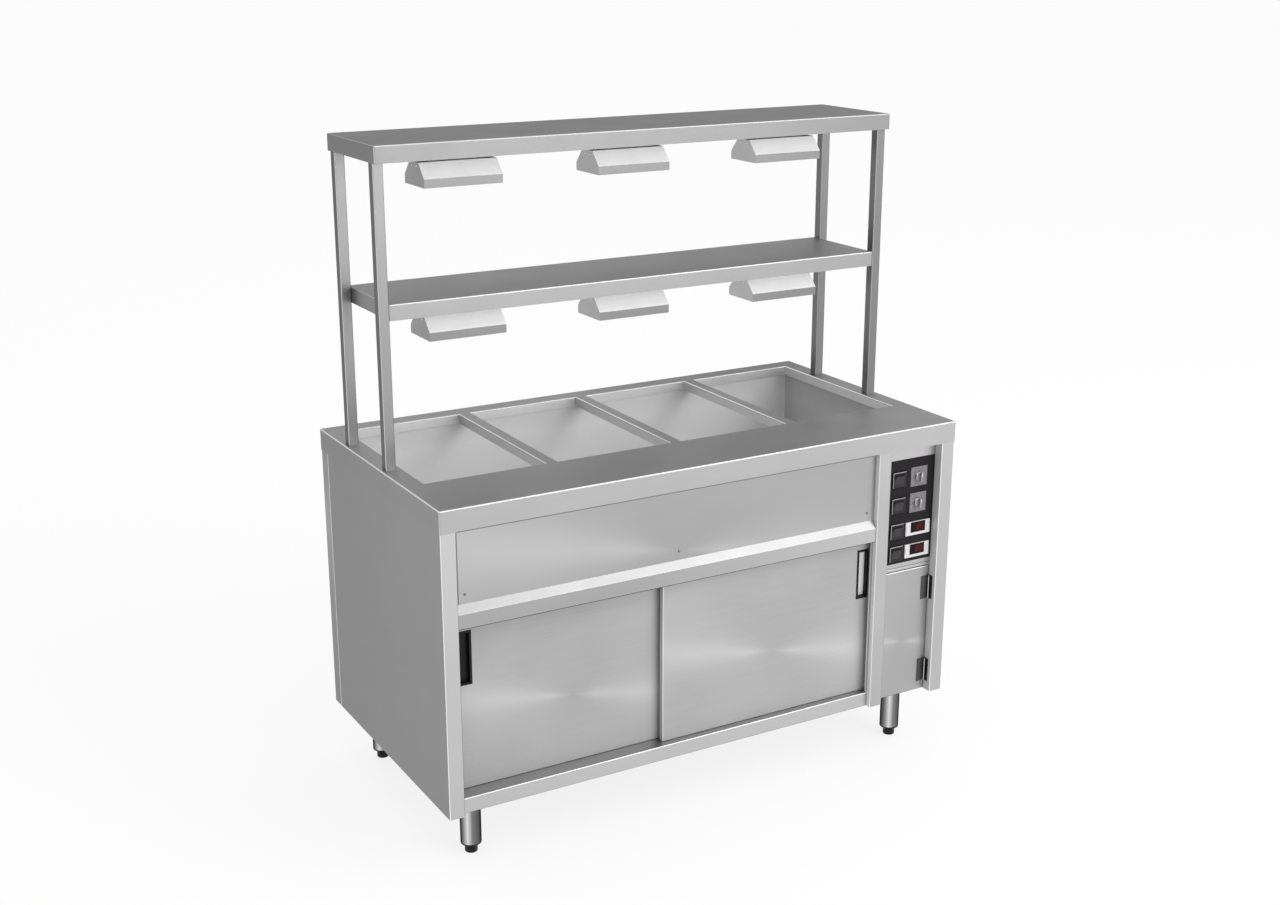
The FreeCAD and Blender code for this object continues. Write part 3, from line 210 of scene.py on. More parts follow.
def material(name):
    made = bpy.data.materials.new(name)
    return made, Tree(made)


# Satin stainless sheet

ALONG_X, ALONG_Y, ALONG_Z = range(3)


def brushed(tree, grain):
    """Fine streaks along the grain, and across it where the face looks along the grain."""
    place = tree.place()
    other = ALONG_Y if grain == ALONG_X else ALONG_X
    turned = abs(tree.split(tree.facing())[grain]) > end_facing
    scales = []
    for axis in (grain, other):
        scales.append([grain_along if side == axis else grain_across for side in range(3)])
    streaked = tree.mix_places(turned, tree.stretched(place, scales[0]), tree.stretched(place, scales[1]))
    return tree.noise(streaked, *streak_noise)


def bow_tie(along, across, reach, lean=0.18, spread=0.16):
    """Painted highlight: bright wedges to both sides of a sheet's middle, as fine brushing shows them under
    light.
    """
    slope = abs(across + along * lean) / (abs(along) + tie_heart)
    wedge = 1 / (1 + (slope / spread) ** 2)
    return wedge * abs(along).rise(0, reach)


def satin_steel(name, grain=ALONG_X, tone=0.46, painted_light=None, top=1, under=1, front=1, side=1, fold=1.9,
                shade=0.5, roughness=steel_roughness, metal=1.0):
    """Brushed sheet. The tone is its share of light given back. Top, under, front and side scale it as
    painted light and shade on faces that look up, down, to the front and to the left, fold paints
    highlights on folds towards the light, shade darkens folds away from it as painted shade, and the
    pattern function adds painted highlights and shadows. Metal is the share of its light that is mirrored."""
    made, tree = material(name)
    streaks = brushed(tree, grain)
    clouds = tree.noise(tree.place(), cloud_scale)
    smears = tree.noise(tree.place(), *smear_noise)
    x, y, z = tree.split(tree.facing())
    level = 1 + (streaks - noise_middle) * streak_contrast + (clouds - noise_middle) * cloud_contrast
    # Painted light and shade: faces that look up, down, to the front or to the left are made lighter or
    # darker
    for axis, sign, gain in ((z, 1, top), (z, -1, under), (y, -1, front), (x, -1, side)):
        if gain != 1:
            level = level + (axis * sign).rise(*flat_facing) * (gain - 1)
    # Painted highlights on folds that face up or to the left, painted shade on folds that face down or to
    # the right
    bend = tree.slant().rise(*bend_start)
    lit = (z - x).rise(*bend_light)
    level = level + bend * (lit * (fold - shade) + (shade - 1))
    # Painted highlights and shadows from the sheet's own pattern
    if painted_light:
        level = level * (1 + painted_light(tree))
    rough = roughness + (streaks + smears - 1) * roughness_spread
    tree.surface(tree.principled({
        "Base Color": tree.mix(level * tone, steel_dark, steel_light),
        "Metallic": metal(tree) if callable(metal) else metal,
        "Roughness": rough,
        "Specular Tint": steel_edge_tint,
        "Normal": tree.bump(streaks, scratch_depth)}))
    return made


# Painted highlight and shade bands of the leg tubes, by how far their surface is turned to the right of the
# front left

leg_turn = math.radians(30)
leg_left_band = (-0.9, -0.2)
leg_left_curve = 1.6
leg_lit_band = (-0.2, 0.25)
leg_right_band = (0.1, 0.95)
leg_back_band = (0.15, 0.7)
leg_dark = 0.085
leg_lit = 0.50
leg_right = 0.15
leg_back = 0.45
leg_streaks = 0.04
leg_roughness = 0.24


def leg_steel(name):
    """Bright tube with a painted highlight on its front left, painted dark bands to the left and right of
    it, and a paler painted back.
    """
    made, tree = material(name)
    streaks = brushed(tree, ALONG_Z)
    x, y, z = tree.split(tree.facing())
    turned = x * math.cos(leg_turn) - y * math.sin(leg_turn)
    away = x * math.sin(leg_turn) + y * math.cos(leg_turn)
    # Painted highlight and shade: bright front left falling off to dark on the right, dark at the left,
    # paler at the back
    lit = (1 - turned.rise(*leg_lit_band)) * leg_lit
    painted_falloff = (1 - turned.rise(*leg_right_band)) * leg_right
    level = turned.rise(*leg_left_band) ** leg_left_curve * (lit + painted_falloff) + leg_dark
    level = level + away.rise(*leg_back_band) * leg_back
    tree.surface(tree.principled({
        "Base Color": tree.mix(level + (streaks - noise_middle) * leg_streaks, steel_dark, steel_light),
        "Metallic": 1.0,
        "Roughness": leg_roughness + (streaks - noise_middle) * roughness_spread,
        "Specular Tint": steel_edge_tint}))
    return made


# Plastic, print, darker metals and glass

rub_noise = (40.0, 4.0, 0.6)
rub_roughness = 0.12
# Bend range and lit side of the plastics' painted edge highlights
rim_bend = (0.05, 0.2)
rim_light = (0.1, 0.4)
grain_strength = 0.5

dial_colours = ((0.085, 0.082, 0.088, 1), (0.24, 0.23, 0.245, 1))
dial_speckle = (420.0, 3.0, 0.7)
dial_speckle_edges = (0.35, 0.65)
dial_patches = (60.0, 3.0)
dial_roughness = 0.42
dial_gloss = 0.4

patch_noise = (60.0, 4.0, 0.6)
patch_edges = (0.3, 0.7)
patch_roughness = 0.2
pitting_scale = 1200.0
pitting_depth = 0.00003

ceramic_colours = ((0.62, 0.60, 0.55, 1), (0.76, 0.74, 0.70, 1))
ceramic_scale = 700.0
ceramic_depth = 0.0001
ceramic_roughness = 0.7
quartz_colours = ((0.80, 0.80, 0.78, 1), (0.92, 0.92, 0.90, 1))
frost_scale = 300.0
quartz_roughness = 0.12
quartz_clearness = 0.75
quartz_index = 1.46


def grey(level):
    return (level, level, level, 1)


def plastic(name, colours, roughness, grain_scale=900.0, grain_depth=0.00006, gloss=0.5, painted_edge_light=0.0):
    """Moulded plastic with a fine grain, a little paler where it is rubbed, and with painted highlights on
    bends that face up and to the left.
    """
    made, tree = material(name)
    grain = tree.noise(tree.place(), grain_scale)
    rubbed = tree.noise(tree.place(), *rub_noise)
    x, y, z = tree.split(tree.facing())
    # Painted highlight on bends that face up or to the left
    painted_rim = tree.slant().rise(*rim_bend) * (z - x).rise(*rim_light)
    tree.surface(tree.principled({
        "Base Color": tree.mix(painted_rim * painted_edge_light, tree.mix(rubbed, *colours), steel_light),
        "Roughness": roughness + (rubbed - noise_middle) * rub_roughness,
        "Specular IOR Level": gloss,
        "Normal": tree.bump(grain, grain_depth, grain_strength)}))
    return made


def dial_print(name):
    """Grey printed plate with a speckle."""
    made, tree = material(name)
    speckle = tree.noise(tree.place(), *dial_speckle)
    patches = tree.noise(tree.place(), *dial_patches)
    tree.surface(tree.principled({
        "Base Color": tree.mix(speckle.rise(*dial_speckle_edges), *dial_colours),
        "Roughness": dial_roughness + (patches - noise_middle) * roughness_spread,
        "Specular IOR Level": dial_gloss}))
    return made


def dark_metal(name, colours, roughness):
    """Darkened or tinted metal with uneven patches."""
    made, tree = material(name)
    patches = tree.noise(tree.place(), *patch_noise)
    pitting = tree.noise(tree.place(), pitting_scale)
    tree.surface(tree.principled({
        "Base Color": tree.mix(patches.rise(*patch_edges), *colours),
        "Metallic": 1.0,
        "Roughness": roughness + (patches - noise_middle) * patch_roughness,
        "Normal": tree.bump(pitting, pitting_depth)}))
    return made


def tube_and_sockets(name):
    """Quartz tubes, with white ceramic in the sockets round their ends."""
    made, tree = material(name)
    grain = tree.noise(tree.place(), ceramic_scale)
    along = tree.split(tree.place())[0]
    ceramic = tree.principled({"Base Color": tree.mix(grain, *ceramic_colours),
                               "Roughness": ceramic_roughness,
                               "Normal": tree.bump(grain, ceramic_depth, grain_strength)})
    frost = tree.noise(tree.place(), frost_scale)
    quartz = tree.principled({"Base Color": tree.mix(frost, *quartz_colours),
                              "Roughness": quartz_roughness + frost * roughness_spread,
                              "Transmission Weight": quartz_clearness, "IOR": quartz_index})
    bare = 1
    for centre in lamp_centres():
        bare = bare * (abs(along - centre) > lamp_length / 2 - socket_length)
    tree.surface(tree.add("MixShader", {}, {0: bare, 1: quartz, 2: ceramic}))
    return made


# Places of the lamps, from the hoods' and the middle shelf's boxes

hood_low, hood_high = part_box("lamp_housings")
shelf_low, shelf_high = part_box("mid_shelf")
lamp_length = 0.200
lamp_height = 0.056
lamp_pitch = (shelf_high.x - shelf_low.x) / 3
lamp_y = (hood_low.y + hood_high.y) / 2
tube_rise = 0.024
socket_length = 0.0175


def lamp_centres():
    return [-lamp_pitch, 0.0, lamp_pitch]


def hood_bottoms():
    return [hood_low.z, hood_high.z - lamp_height]


# Painted light and shade of the sheets: painted bow-tie and rim highlights, painted shade, and painted
# shadows under the header and the fascia and beside the stile. A pair of numbers is where a rise starts
# and ends, that of the tank as depths under its top. The lamps' tie is a bow tie's reach, lean and spread.

upright_facing = (0.7, 0.9)
left_facing = (0.8, 0.95)
left_dulling = 0.85
slope_facing = (0.3, 0.5)
top_facing = (0.85, 0.95)

lamp_tie = (0.04, 0.12, 0.14)
lamp_tie_forward = 0.036
lamp_tie_light = 0.6
lamp_slope_light = 0.12

header_reach = (-0.2, 0.45)
header_light = 0.32
header_slope_less = 0.18
header_slope_light = 0.06
# Height and darkness of the painted shadow at the header's foot
header_shadow_height = 0.0022
header_shadow_dark = 0.6

post_reach = (-0.6, 0.6)
post_dark = 0.27

back_tie_reach = 0.3
back_edge_width = 0.004
back_edge_light = 2.4

rim_drop = 0.0035
rim_side_margin = 0.049
rim_front_margin = 0.198
rim_back_margin = 0.05
rim_sheen = 0.75
fold_facing = (0.2, 0.4)
fold_light = 1.3
bench_up_facing = (0.8, 0.95)
bench_right_reach = (0, 0.5)
bench_back_reach = (0.1, 0.3)
bench_back_dark = 0.2
fascia_reach = (0.2, 0.65)
fascia_light = 0.09
# Height and darkness of the painted shadow at the fascia's foot
fascia_shadow_height = 0.002
fascia_shadow_dark = 0.5

tank_depth = (0.08, 0.01)
tank_deep_light = 0.25
tank_light = 0.035

upper_tie_reach = 0.12
upper_tie_height = 0.11
# Darkness, drop and inset of the upper panel's painted shadows
upper_shadow_dark = 0.7
shadow_drop = 0.0068
shadow_inset = 0.0075

door_tie_reach = 0.06
door_tie_height = 0.40
service_tie_reach = 0.025
service_tie_height = 0.43


def panel_sheen(node, reach, height_share=0.5):
    """Painted bow-tie highlight about the middle of a node's front."""
    low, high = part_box(node)
    middle_x = (low.x + high.x) / 2
    middle_z = low.z + (high.z - low.z) * height_share

    def pattern(tree):
        x, y, z = tree.split(tree.place())
        return bow_tie(x - middle_x, z - middle_z, reach) * tie_strength
    return pattern


def dull_left(tree):
    """Little shine on narrow faces that look to the left."""
    return 1 - (-1 * tree.split(tree.facing())[0]).rise(*left_facing) * left_dulling


def slopes(tree):
    """1 on faces that look up at a slant."""
    z = tree.split(tree.facing())[2]
    return z.rise(*slope_facing) * (1 - z.rise(*top_facing))


def lamp_sheen(tree):
    """Painted highlights: brighter slopes, with a painted bow tie in the middle of each."""
    x, y, z = tree.split(tree.place())
    painted_ties = 0
    for centre in lamp_centres():
        within = abs(x - centre) < lamp_pitch / 2
        painted_ties = painted_ties + within * bow_tie(x - centre, y - lamp_y + lamp_tie_forward, *lamp_tie)
    return slopes(tree) * (painted_ties * lamp_tie_light + lamp_slope_light)


def lamp_metal(tree):
    """Softer shine on the slopes than on the rest."""
    return 1 - slopes(tree)


def header_sheen(tree):
    """Painted highlight brightening towards the right, and a painted shadow at the foot."""
    x, y, z = tree.split(tree.place())
    slope = slopes(tree)
    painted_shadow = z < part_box("door_header")[0].z + header_shadow_height
    light = x.rise(*header_reach) * (header_light - slope * header_slope_less)
    return light + slope * header_slope_light - painted_shadow * header_shadow_dark


def post_sheen(tree):
    """Painted shade, darker towards the right."""
    return tree.split(tree.place())[0].rise(*post_reach) * -post_dark


def back_sheen(tree):
    """Painted bow-tie highlight on the back, and painted highlights on the strips where it folds round the
    sides.
    """
    # Painted highlight on the strip where the back folds round the side
    painted_edge_light = tree.split(tree.place())[1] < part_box("back_panel")[0].y + back_edge_width
    return panel_sheen("back_panel", back_tie_reach)(tree) + painted_edge_light * back_edge_light


def bench_sheen(tree):
    """Painted highlights on the flanges round the wells' openings, on the fold of the left side and towards
    the right of the front, painted shade on the back right, and a painted shadow at the foot of the front."""
    x, y, z = tree.split(tree.place())
    low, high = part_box("benchtop")
    below = high.z - rim_drop > z
    within = ((abs(x) < high.x - rim_side_margin) * (y > low.y + rim_front_margin)
              * (y < high.y - rim_back_margin))
    across, back, up = tree.split(tree.facing())
    front = (-1 * back).rise(*upright_facing)
    painted_shadow = ((z < low.z + fascia_shadow_height) * (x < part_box("mullion")[0].x)
            * (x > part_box("door_header")[0].x))
    painted_rims = below * within * (front + (-1 * across).rise(*upright_facing)) * rim_sheen
    painted_left_fold = (-1 * across).rise(*fold_facing) * up.rise(*fold_facing)
    painted_back_shade = x.rise(*bench_right_reach) * y.rise(*bench_back_reach) * up.rise(*bench_up_facing)
    fascia = x.rise(*fascia_reach) * fascia_light - painted_shadow * fascia_shadow_dark
    return painted_rims + painted_left_fold * fold_light - painted_back_shade * bench_back_dark + front * fascia


def tank_sheen(tree):
    """Painted light: brighter with depth, against the shade deep in the tank, on a small even lift."""
    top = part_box("water_tank")[1].z
    deep, shallow = tank_depth
    height = tree.split(tree.place())[2].rise(top - deep, top - shallow)
    return (1 - height) * tank_deep_light + tank_light


def upper_sheen(tree):
    """Painted bow-tie highlight on the upper front panel, and painted shadows under the fascia and beside
    the stile.
    """
    x, y, z = tree.split(tree.place())
    painted_shadow = (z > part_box("benchtop")[0].z - shadow_drop).most(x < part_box("door_header")[0].x + shadow_inset)
    tie = panel_sheen("upper_front_panel", upper_tie_reach, upper_tie_height)(tree)
    return tie - painted_shadow * upper_shadow_dark


# Finishes of the nodes

black_colours = (grey(0.008), grey(0.02))
pull_colours = (grey(0.005), grey(0.015))
foot_colours = (grey(0.004), grey(0.012))
pale_colours = ((0.50, 0.49, 0.49, 1), (0.62, 0.61, 0.61, 1))
film_colours = ((0.011, 0.010, 0.011, 1), (0.017, 0.015, 0.017, 1))
rocker_colours = ((0.018, 0.016, 0.017, 1), (0.036, 0.032, 0.034, 1))
knob_colours = ((0.16, 0.16, 0.165, 1), (0.26, 0.26, 0.265, 1))
sheath_colours = ((0.16, 0.14, 0.13, 1), (0.34, 0.32, 0.30, 1))
brass_colours = ((0.44, 0.31, 0.14, 1), (0.66, 0.50, 0.26, 1))


def outer_finishes():
    """Finishes of the sheets that show from outside, by node. Their facing and fold gains and patterns are
    painted light and shade.
    """
    # Doors: pale backs, tops, feet and right-facing faces with a darker front, which paints light into the
    # gaps between the sheets
    door = {"tone": 0.95, "front": 0.375, "side": 0.5, "fold": 1.05, "shade": 1, "metal": 0.3}
    return {
        "benchtop": satin_steel("bench_sheet", tone=0.45, painted_light=bench_sheen, top=1.3, front=0.91,
                                fold=1.3),
        "left_side_panel": satin_steel("left_sheet", ALONG_Y, front=1.13, fold=3),
        "right_side_panel": satin_steel("right_sheet", ALONG_Y, front=1.05, side=1.3, fold=3,
                                        metal=dull_left),
        "back_panel": satin_steel("back_sheet", painted_light=back_sheen),
        "upper_front_panel": satin_steel("upper_sheet", tone=0.355, painted_light=upper_sheen),
        "door_header": satin_steel("header_sheet", tone=0.365, painted_light=header_sheen, fold=0.77,
                                   shade=0.3),
        "bottom_rail": satin_steel("rail_sheet", tone=0.515, top=0.92, fold=1.3),
        "left_door": satin_steel(
            "left_door_sheet", painted_light=panel_sheen("left_door", door_tie_reach, door_tie_height), **door),
        "right_door": satin_steel(
            "right_door_sheet", painted_light=panel_sheen("right_door", door_tie_reach, door_tie_height), **door),
        "mullion": satin_steel("mullion_sheet", ALONG_Z, tone=0.95, front=0.485, side=0.8, fold=1.05,
                               metal=dull_left),
        "control_panel": satin_steel("control_sheet", tone=0.47, fold=0.8, shade=0.3),
        "service_door": satin_steel(
            "service_door_sheet", tone=0.415,
            painted_light=panel_sheen("service_door", service_tie_reach, service_tie_height)),
        "gantry_posts": satin_steel("post_sheet", ALONG_Z, tone=0.27, painted_light=post_sheen, fold=3),
        "mid_shelf": satin_steel("mid_shelf_sheet", tone=0.43, top=1.4, under=2.3, front=0.73),
        "top_shelf": satin_steel("top_shelf_sheet", tone=0.37, top=1.32, under=2.6, front=0.64),
        "lamp_housings": satin_steel("lamp_sheet", tone=0.36, painted_light=lamp_sheen, front=0.62, side=1.45,
                                     fold=2.4, metal=lamp_metal),
        "lamp_brackets": satin_steel("bracket_sheet", ALONG_Z, tone=0.2, fold=1, shade=0.6),
        "leg_tubes": leg_steel("leg_tube_steel")}


def inner_finishes():
    """Finishes of the tank, the pipes and the parts inside, by node. Their facing and fold gains are painted
    light and shade, and the hinges' high fold gain paints a highlight and shade on the knuckles.
    """
    tank = satin_steel("tank_sheet", tone=0.665, painted_light=tank_sheen, front=0.83, side=0.57, fold=1,
                       shade=0.9, roughness=0.46, metal=0.3)
    pipe = satin_steel("pipe_steel", ALONG_Z, tone=0.45, fold=1, shade=1, roughness=0.3)
    hinge = satin_steel("hinge_steel", ALONG_Z, tone=0.11, fold=5, shade=0.2)
    return {
        "water_tank": tank, "tank_jacket": tank, "drain_pipe": pipe, "hinge_pins": pipe,
        "hinge_fixed_leaves": hinge, "hinge_moving_leaves": hinge,
        "compartment_wall": satin_steel("wall_sheet", ALONG_Y),
        "screws": satin_steel("screw_steel", tone=0.2, fold=1, shade=1),
        "heating_elements": dark_metal("element_sheath", sheath_colours, roughness=0.45),
        "drain_valve": dark_metal("valve_brass", brass_colours, roughness=0.35),
        "lamp_tubes": tube_and_sockets("lamp_glass")}


def plastic_finishes():
    """Finishes of the mouldings, the film and the plates, by node or by the start of its name. The
    mouldings' lit bends get painted highlights.
    """
    black = plastic("black_moulding", black_colours, roughness=0.38, gloss=0.3, painted_edge_light=0.12)
    pull = plastic("pull_black", pull_colours, roughness=0.38, gloss=0.15)
    foot = plastic("black_foot", foot_colours, roughness=0.25, gloss=0.2)
    pale = plastic("pale_moulding", pale_colours, roughness=0.42)
    return {
        "control_overlay": plastic("overlay_film", film_colours, roughness=0.5, grain_scale=600.0,
                                   grain_depth=0.00004, gloss=0.09),
        "switch_bezels": plastic("bezel_black", black_colours, roughness=0.38, gloss=0.3, painted_edge_light=0.7),
        "rocker": plastic("rocker_black", rocker_colours, roughness=0.42, gloss=0.3, painted_edge_light=0.1),
        "knob": plastic("knob_grey", knob_colours, roughness=0.25, painted_edge_light=0.6),
        "dial_plates": dial_print("dial_print"),
        "temperature_controllers": pale, "controller_key": pale,
        "bay_electrics": black, "door_catch": black,
        "leg_collars": foot, "foot": foot,
        "left_door_pull": pull, "right_door_pull": pull}


def dress_nodes():
    """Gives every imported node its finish."""
    finishes = {**outer_finishes(), **inner_finishes(), **plastic_finishes()}
    plain = satin_steel("satin_sheet_lengthwise")
    for name, node in nodes.items():
        kind = "foot" if name.endswith("_foot") else name.rstrip("_1234")
        node.data.materials.clear()
        node.data.materials.append(finishes.get(kind, plain))


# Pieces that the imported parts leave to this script

def put(name, mesh, finish, body):
    """A finished piece that rides on a body, with its finish in its one material slot."""
    piece = bpy.data.objects.new(name, mesh)
    bpy.context.scene.collection.objects.link(piece)
    piece.data.materials.clear()
    piece.data.materials.append(finish)
    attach(piece, body)


def plates(name, outlines, y_front, y_back):
    """Mesh of flat plates that face the front, from outlines of (x, z) points."""
    work = bmesh.new()
    for outline in outlines:
        face = work.faces.new([work.verts.new((x, y_back, z)) for x, z in outline])
        pushed = bmesh.ops.extrude_face_region(work, geom=[face])["geom"]
        moved = [part for part in pushed if isinstance(part, bmesh.types.BMVert)]
        bmesh.ops.translate(work, verts=moved, vec=(0, y_front - y_back, 0))
    bmesh.ops.recalc_face_normals(work, faces=work.faces)
    mesh = bpy.data.meshes.new(name)
    work.to_mesh(mesh)
    work.free()
    return mesh


def bar(x, z, length, width, angle):
    """Outline of a bar about (x, z), with its length along an angle from the X axis."""
    along = Vector((math.cos(angle), math.sin(angle))) * (length / 2)
    across = Vector((-math.sin(angle), math.cos(angle))) * (width / 2)
    middle = Vector((x, z))
    return [tuple(middle + a * along + b * across) for a, b in ((-1, -1), (1, -1), (1, 1), (-1, 1))]


def rounded(x0, x1, z0, z1, radius, steps=5):
    """Outline of a rectangle with round corners."""
    points = []
    corners = ((x1, z0, -1), (x1, z1, 0), (x0, z1, 1), (x0, z0, 2))
    for x, z, quarter in corners:
        centre_x = x - radius if x == x1 else x + radius
        centre_z = z - radius if z == z1 else z + radius
        for step in range(steps + 1):
            angle = (quarter + step / steps) * QUARTER
            points.append((centre_x + radius * math.cos(angle), centre_z + radius * math.sin(angle)))
    return points


def middle_of(node):
    low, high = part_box(node)
    return (low + high) / 2


# Controllers' displays

display_width = 0.048
display_height = 0.0285
display_rise = 0.0033
display_recess = 0.0012
pane_recess = display_recess / 3
pane_gap = 0.0003
digit_width = 0.0072
digit_height = 0.0135
digit_pitch = 0.0112
digit_slant = 0.08
segment_width = 0.0016
segment_gap = 0.0003
digit_thickness = 0.00008
segments_on = {"0": "abcdef", "5": "acdfg", "8": "abcdefg"}
reading_shift = 0.006
readings = ("85", "80")
pane_corner = 0.0012
pane_colours = ((0.006, 0.003, 0.003, 1), (0.014, 0.006, 0.006, 1))
pane_haze = (250.0, 3.0)
pane_roughness = 0.12
pane_roughness_spread = 0.08
pane_gloss = 0.1
segment_colours = ((0.10, 0.004, 0.003, 1), (0.17, 0.007, 0.005, 1))
segment_noise_scale = 400.0
segment_roughness = 0.4
segment_glow = 0.3


def segment_bars(x, z):
    """Middle, length and angle of each segment of a digit about (x, z)."""
    half = digit_width / 2
    upright = digit_height / 2
    quarter = digit_height / 4
    return {"a": (x, z + upright, digit_width, 0), "g": (x, z, digit_width, 0),
            "d": (x, z - upright, digit_width, 0),
            "b": (x + half, z + quarter, upright, QUARTER),
            "c": (x + half, z - quarter, upright, QUARTER),
            "f": (x - half, z + quarter, upright, QUARTER),
            "e": (x - half, z - quarter, upright, QUARTER)}


def segment(x, z, length, angle):
    """Pointed bar of a digit."""
    reach = length / 2 - segment_gap
    half = segment_width / 2
    points = [(-reach, 0), (half - reach, -half), (reach - half, -half), (reach, 0), (reach - half, half),
              (half - reach, half)]
    cos, sin = math.cos(angle), math.sin(angle)
    return [(x + u * cos - v * sin, z + u * sin + v * cos) for u, v in points]


def digit_outlines(reading, x, z):
    outlines = []
    for place, digit in enumerate(reading):
        middle = x + (place - (len(reading) - 1) / 2) * digit_pitch
        bars = segment_bars(middle, z)
        for letter in segments_on[digit]:
            outline = segment(*bars[letter])
            outlines.append([(u + (v - z) * digit_slant, v) for u, v in outline])
    return outlines


def displays():
    """Dark panes in the controllers' fronts, with lit digits on them."""
    window, tree = material("display_window")
    haze = tree.noise(tree.place(), *pane_haze)
    tree.surface(tree.principled({"Base Color": tree.mix(haze, *pane_colours),
                                  "Roughness": pane_roughness + haze * pane_roughness_spread,
                                  "Specular IOR Level": pane_gloss}))
    lit, tree = material("display_segments")
    red = tree.mix(tree.noise(tree.place(), segment_noise_scale), *segment_colours)
    tree.surface(tree.principled({"Base Color": red, "Roughness": segment_roughness,
                                  "Specular IOR Level": pane_gloss, "Emission Color": red,
                                  "Emission Strength": segment_glow}))
    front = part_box("temperature_controllers")[0].y
    floor_y = front + display_recess
    face_y = front + pane_recess
    for number, keys in enumerate(((1, 2), (3, 4)), 1):
        left, right = [middle_of("controller_key_" + str(key)) for key in keys]
        x = (left.x + right.x) / 2
        z = left.z + display_rise
        half_x = display_width / 2 - pane_gap
        half_z = display_height / 2 - pane_gap
        outline = rounded(x - half_x, x + half_x, z - half_z, z + half_z, pane_corner)
        pane = plates("display_window_" + str(number), [outline], face_y, floor_y)
        put(pane.name, pane, window, "root")
        outlines = digit_outlines(readings[number - 1], x + reading_shift, z)
        digits = plates("display_digits_" + str(number), outlines, face_y - digit_thickness, face_y)
        put(digits.name, digits, lit, "root")


# Dials' scales and the knobs' pointers

scale_radius = 0.0165
tick_length = 0.0022
tick_width = 0.0005
print_thickness = 0.00006
tick_count = 21
scale_sweep = math.radians(300)
number_radius = 0.0207
number_size = 0.0046
number_steps = 7
pointer_length = 0.0085
pointer_width = 0.0013
pointer_thickness = 0.0002
pointer_place = 0.7
ink_colours = ((0.012, 0.012, 0.013, 1), (0.03, 0.03, 0.032, 1))
ink_scale = 800.0
ink_roughness = 0.6
pointer_colours = (grey(0.74), grey(0.86))
pointer_noise_scale = 500.0
pointer_roughness = 0.45


def scale_angle(share):
    """Angle on the dial from the X axis, which runs clockwise from its start at the bottom left."""
    return QUARTER * 3 - (TURN - scale_sweep) / 2 - share * scale_sweep


def on_circle(middle, radius, angle):
    """Point (x, z) on a circle about a middle."""
    return middle.x + radius * math.cos(angle), middle.z + radius * math.sin(angle)


def dial_scales():
    """Ticks and numbers printed round each knob, and the knob's white pointer mark, which also stands as a
    painted highlight on its grip.
    """
    ink, tree = material("dial_ink")
    tree.surface(tree.principled({
        "Base Color": tree.mix(tree.noise(tree.place(), ink_scale), *ink_colours),
        "Roughness": ink_roughness}))
    white, tree = material("pointer_white")
    tree.surface(tree.principled({
        "Base Color": tree.mix(tree.noise(tree.place(), pointer_noise_scale), *pointer_colours),
        "Roughness": pointer_roughness}))
    face_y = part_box("dial_plates")[0].y
    for dial in (1, 2):
        knob = "knob_" + str(dial)
        middle = middle_of(knob)
        ticks = []
        for index in range(tick_count):
            angle = scale_angle(index / (tick_count - 1))
            ticks.append(bar(*on_circle(middle, scale_radius, angle), tick_length, tick_width, angle))
        scale = plates("dial_scale_" + str(dial), ticks, face_y - print_thickness, face_y)
        put(scale.name, scale, ink, "root")
        for index in range(number_steps):
            angle = scale_angle(index / (number_steps - 1))
            dial_number("dial_number_%d_%d" % (dial, index), str(index), ink, face_y,
                        *on_circle(middle, number_radius, angle))
        # White pointer mark where the grip shows a highlight: a pointer and a painted highlight in one
        low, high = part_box(knob)
        pointer = bar(middle.x, middle.z + pointer_length * pointer_place, pointer_length, pointer_width,
                      QUARTER)
        mark = plates("knob_pointer_" + str(dial), [pointer], low.y - pointer_thickness, low.y)
        put(mark.name, mark, white, knob)


def dial_number(name, text, ink, face_y, x, z):
    """Printed number, with its middle at (x, z)."""
    letters = bpy.data.curves.new(name, "FONT")
    letters.body = text
    letters.size = number_size
    letters.extrude = print_thickness / 2
    letters.align_x = "CENTER"
    letters.align_y = "CENTER"
    letters.materials.append(ink)
    piece = bpy.data.objects.new(name, letters)
    piece.rotation_euler = (QUARTER, 0, 0)
    piece.location = (x, face_y - print_thickness / 2, z)
    bpy.context.scene.collection.objects.link(piece)
    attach(piece, "root")


# Rivets in the hoods' ends and the lamps' filaments

bright_tone = 0.8
rivet_radius = 0.0032
rivet_height = 0.0014
rivet_drop = 0.0095
rivet_spread = 0.014
filament_radius = 0.0017
filament_wire = 0.0003
filament_turns = 46
filament_sides = 8
filament_length = 0.150
filament_colours = ((0.35, 0.30, 0.26, 1), (0.55, 0.50, 0.46, 1))
filament_roughness = 0.4


def dome(work, centre, axis, radius, height, steps=5, sides=16):
    """Low dome that stands on a face, turned about an axis."""
    rings = []
    turn = Vector(axis).to_track_quat("Z", "Y")
    for step in range(steps):
        angle = QUARTER * step / steps
        ring = []
        for side in range(sides):
            around = TURN * side / sides
            point = Vector((radius * math.cos(angle) * math.cos(around),
                            radius * math.cos(angle) * math.sin(around), height * math.sin(angle)))
            ring.append(work.verts.new(Vector(centre) + turn @ point))
        rings.append(ring)
    tip = work.verts.new(Vector(centre) + turn @ Vector((0, 0, height)))
    for lower, upper in zip(rings, rings[1:]):
        for side in range(sides):
            after = (side + 1) % sides
            work.faces.new((lower[side], lower[after], upper[after], upper[side]))
    for side in range(sides):
        work.faces.new((rings[-1][side], rings[-1][(side + 1) % sides], tip))
    work.faces.new(rings[0][::-1])


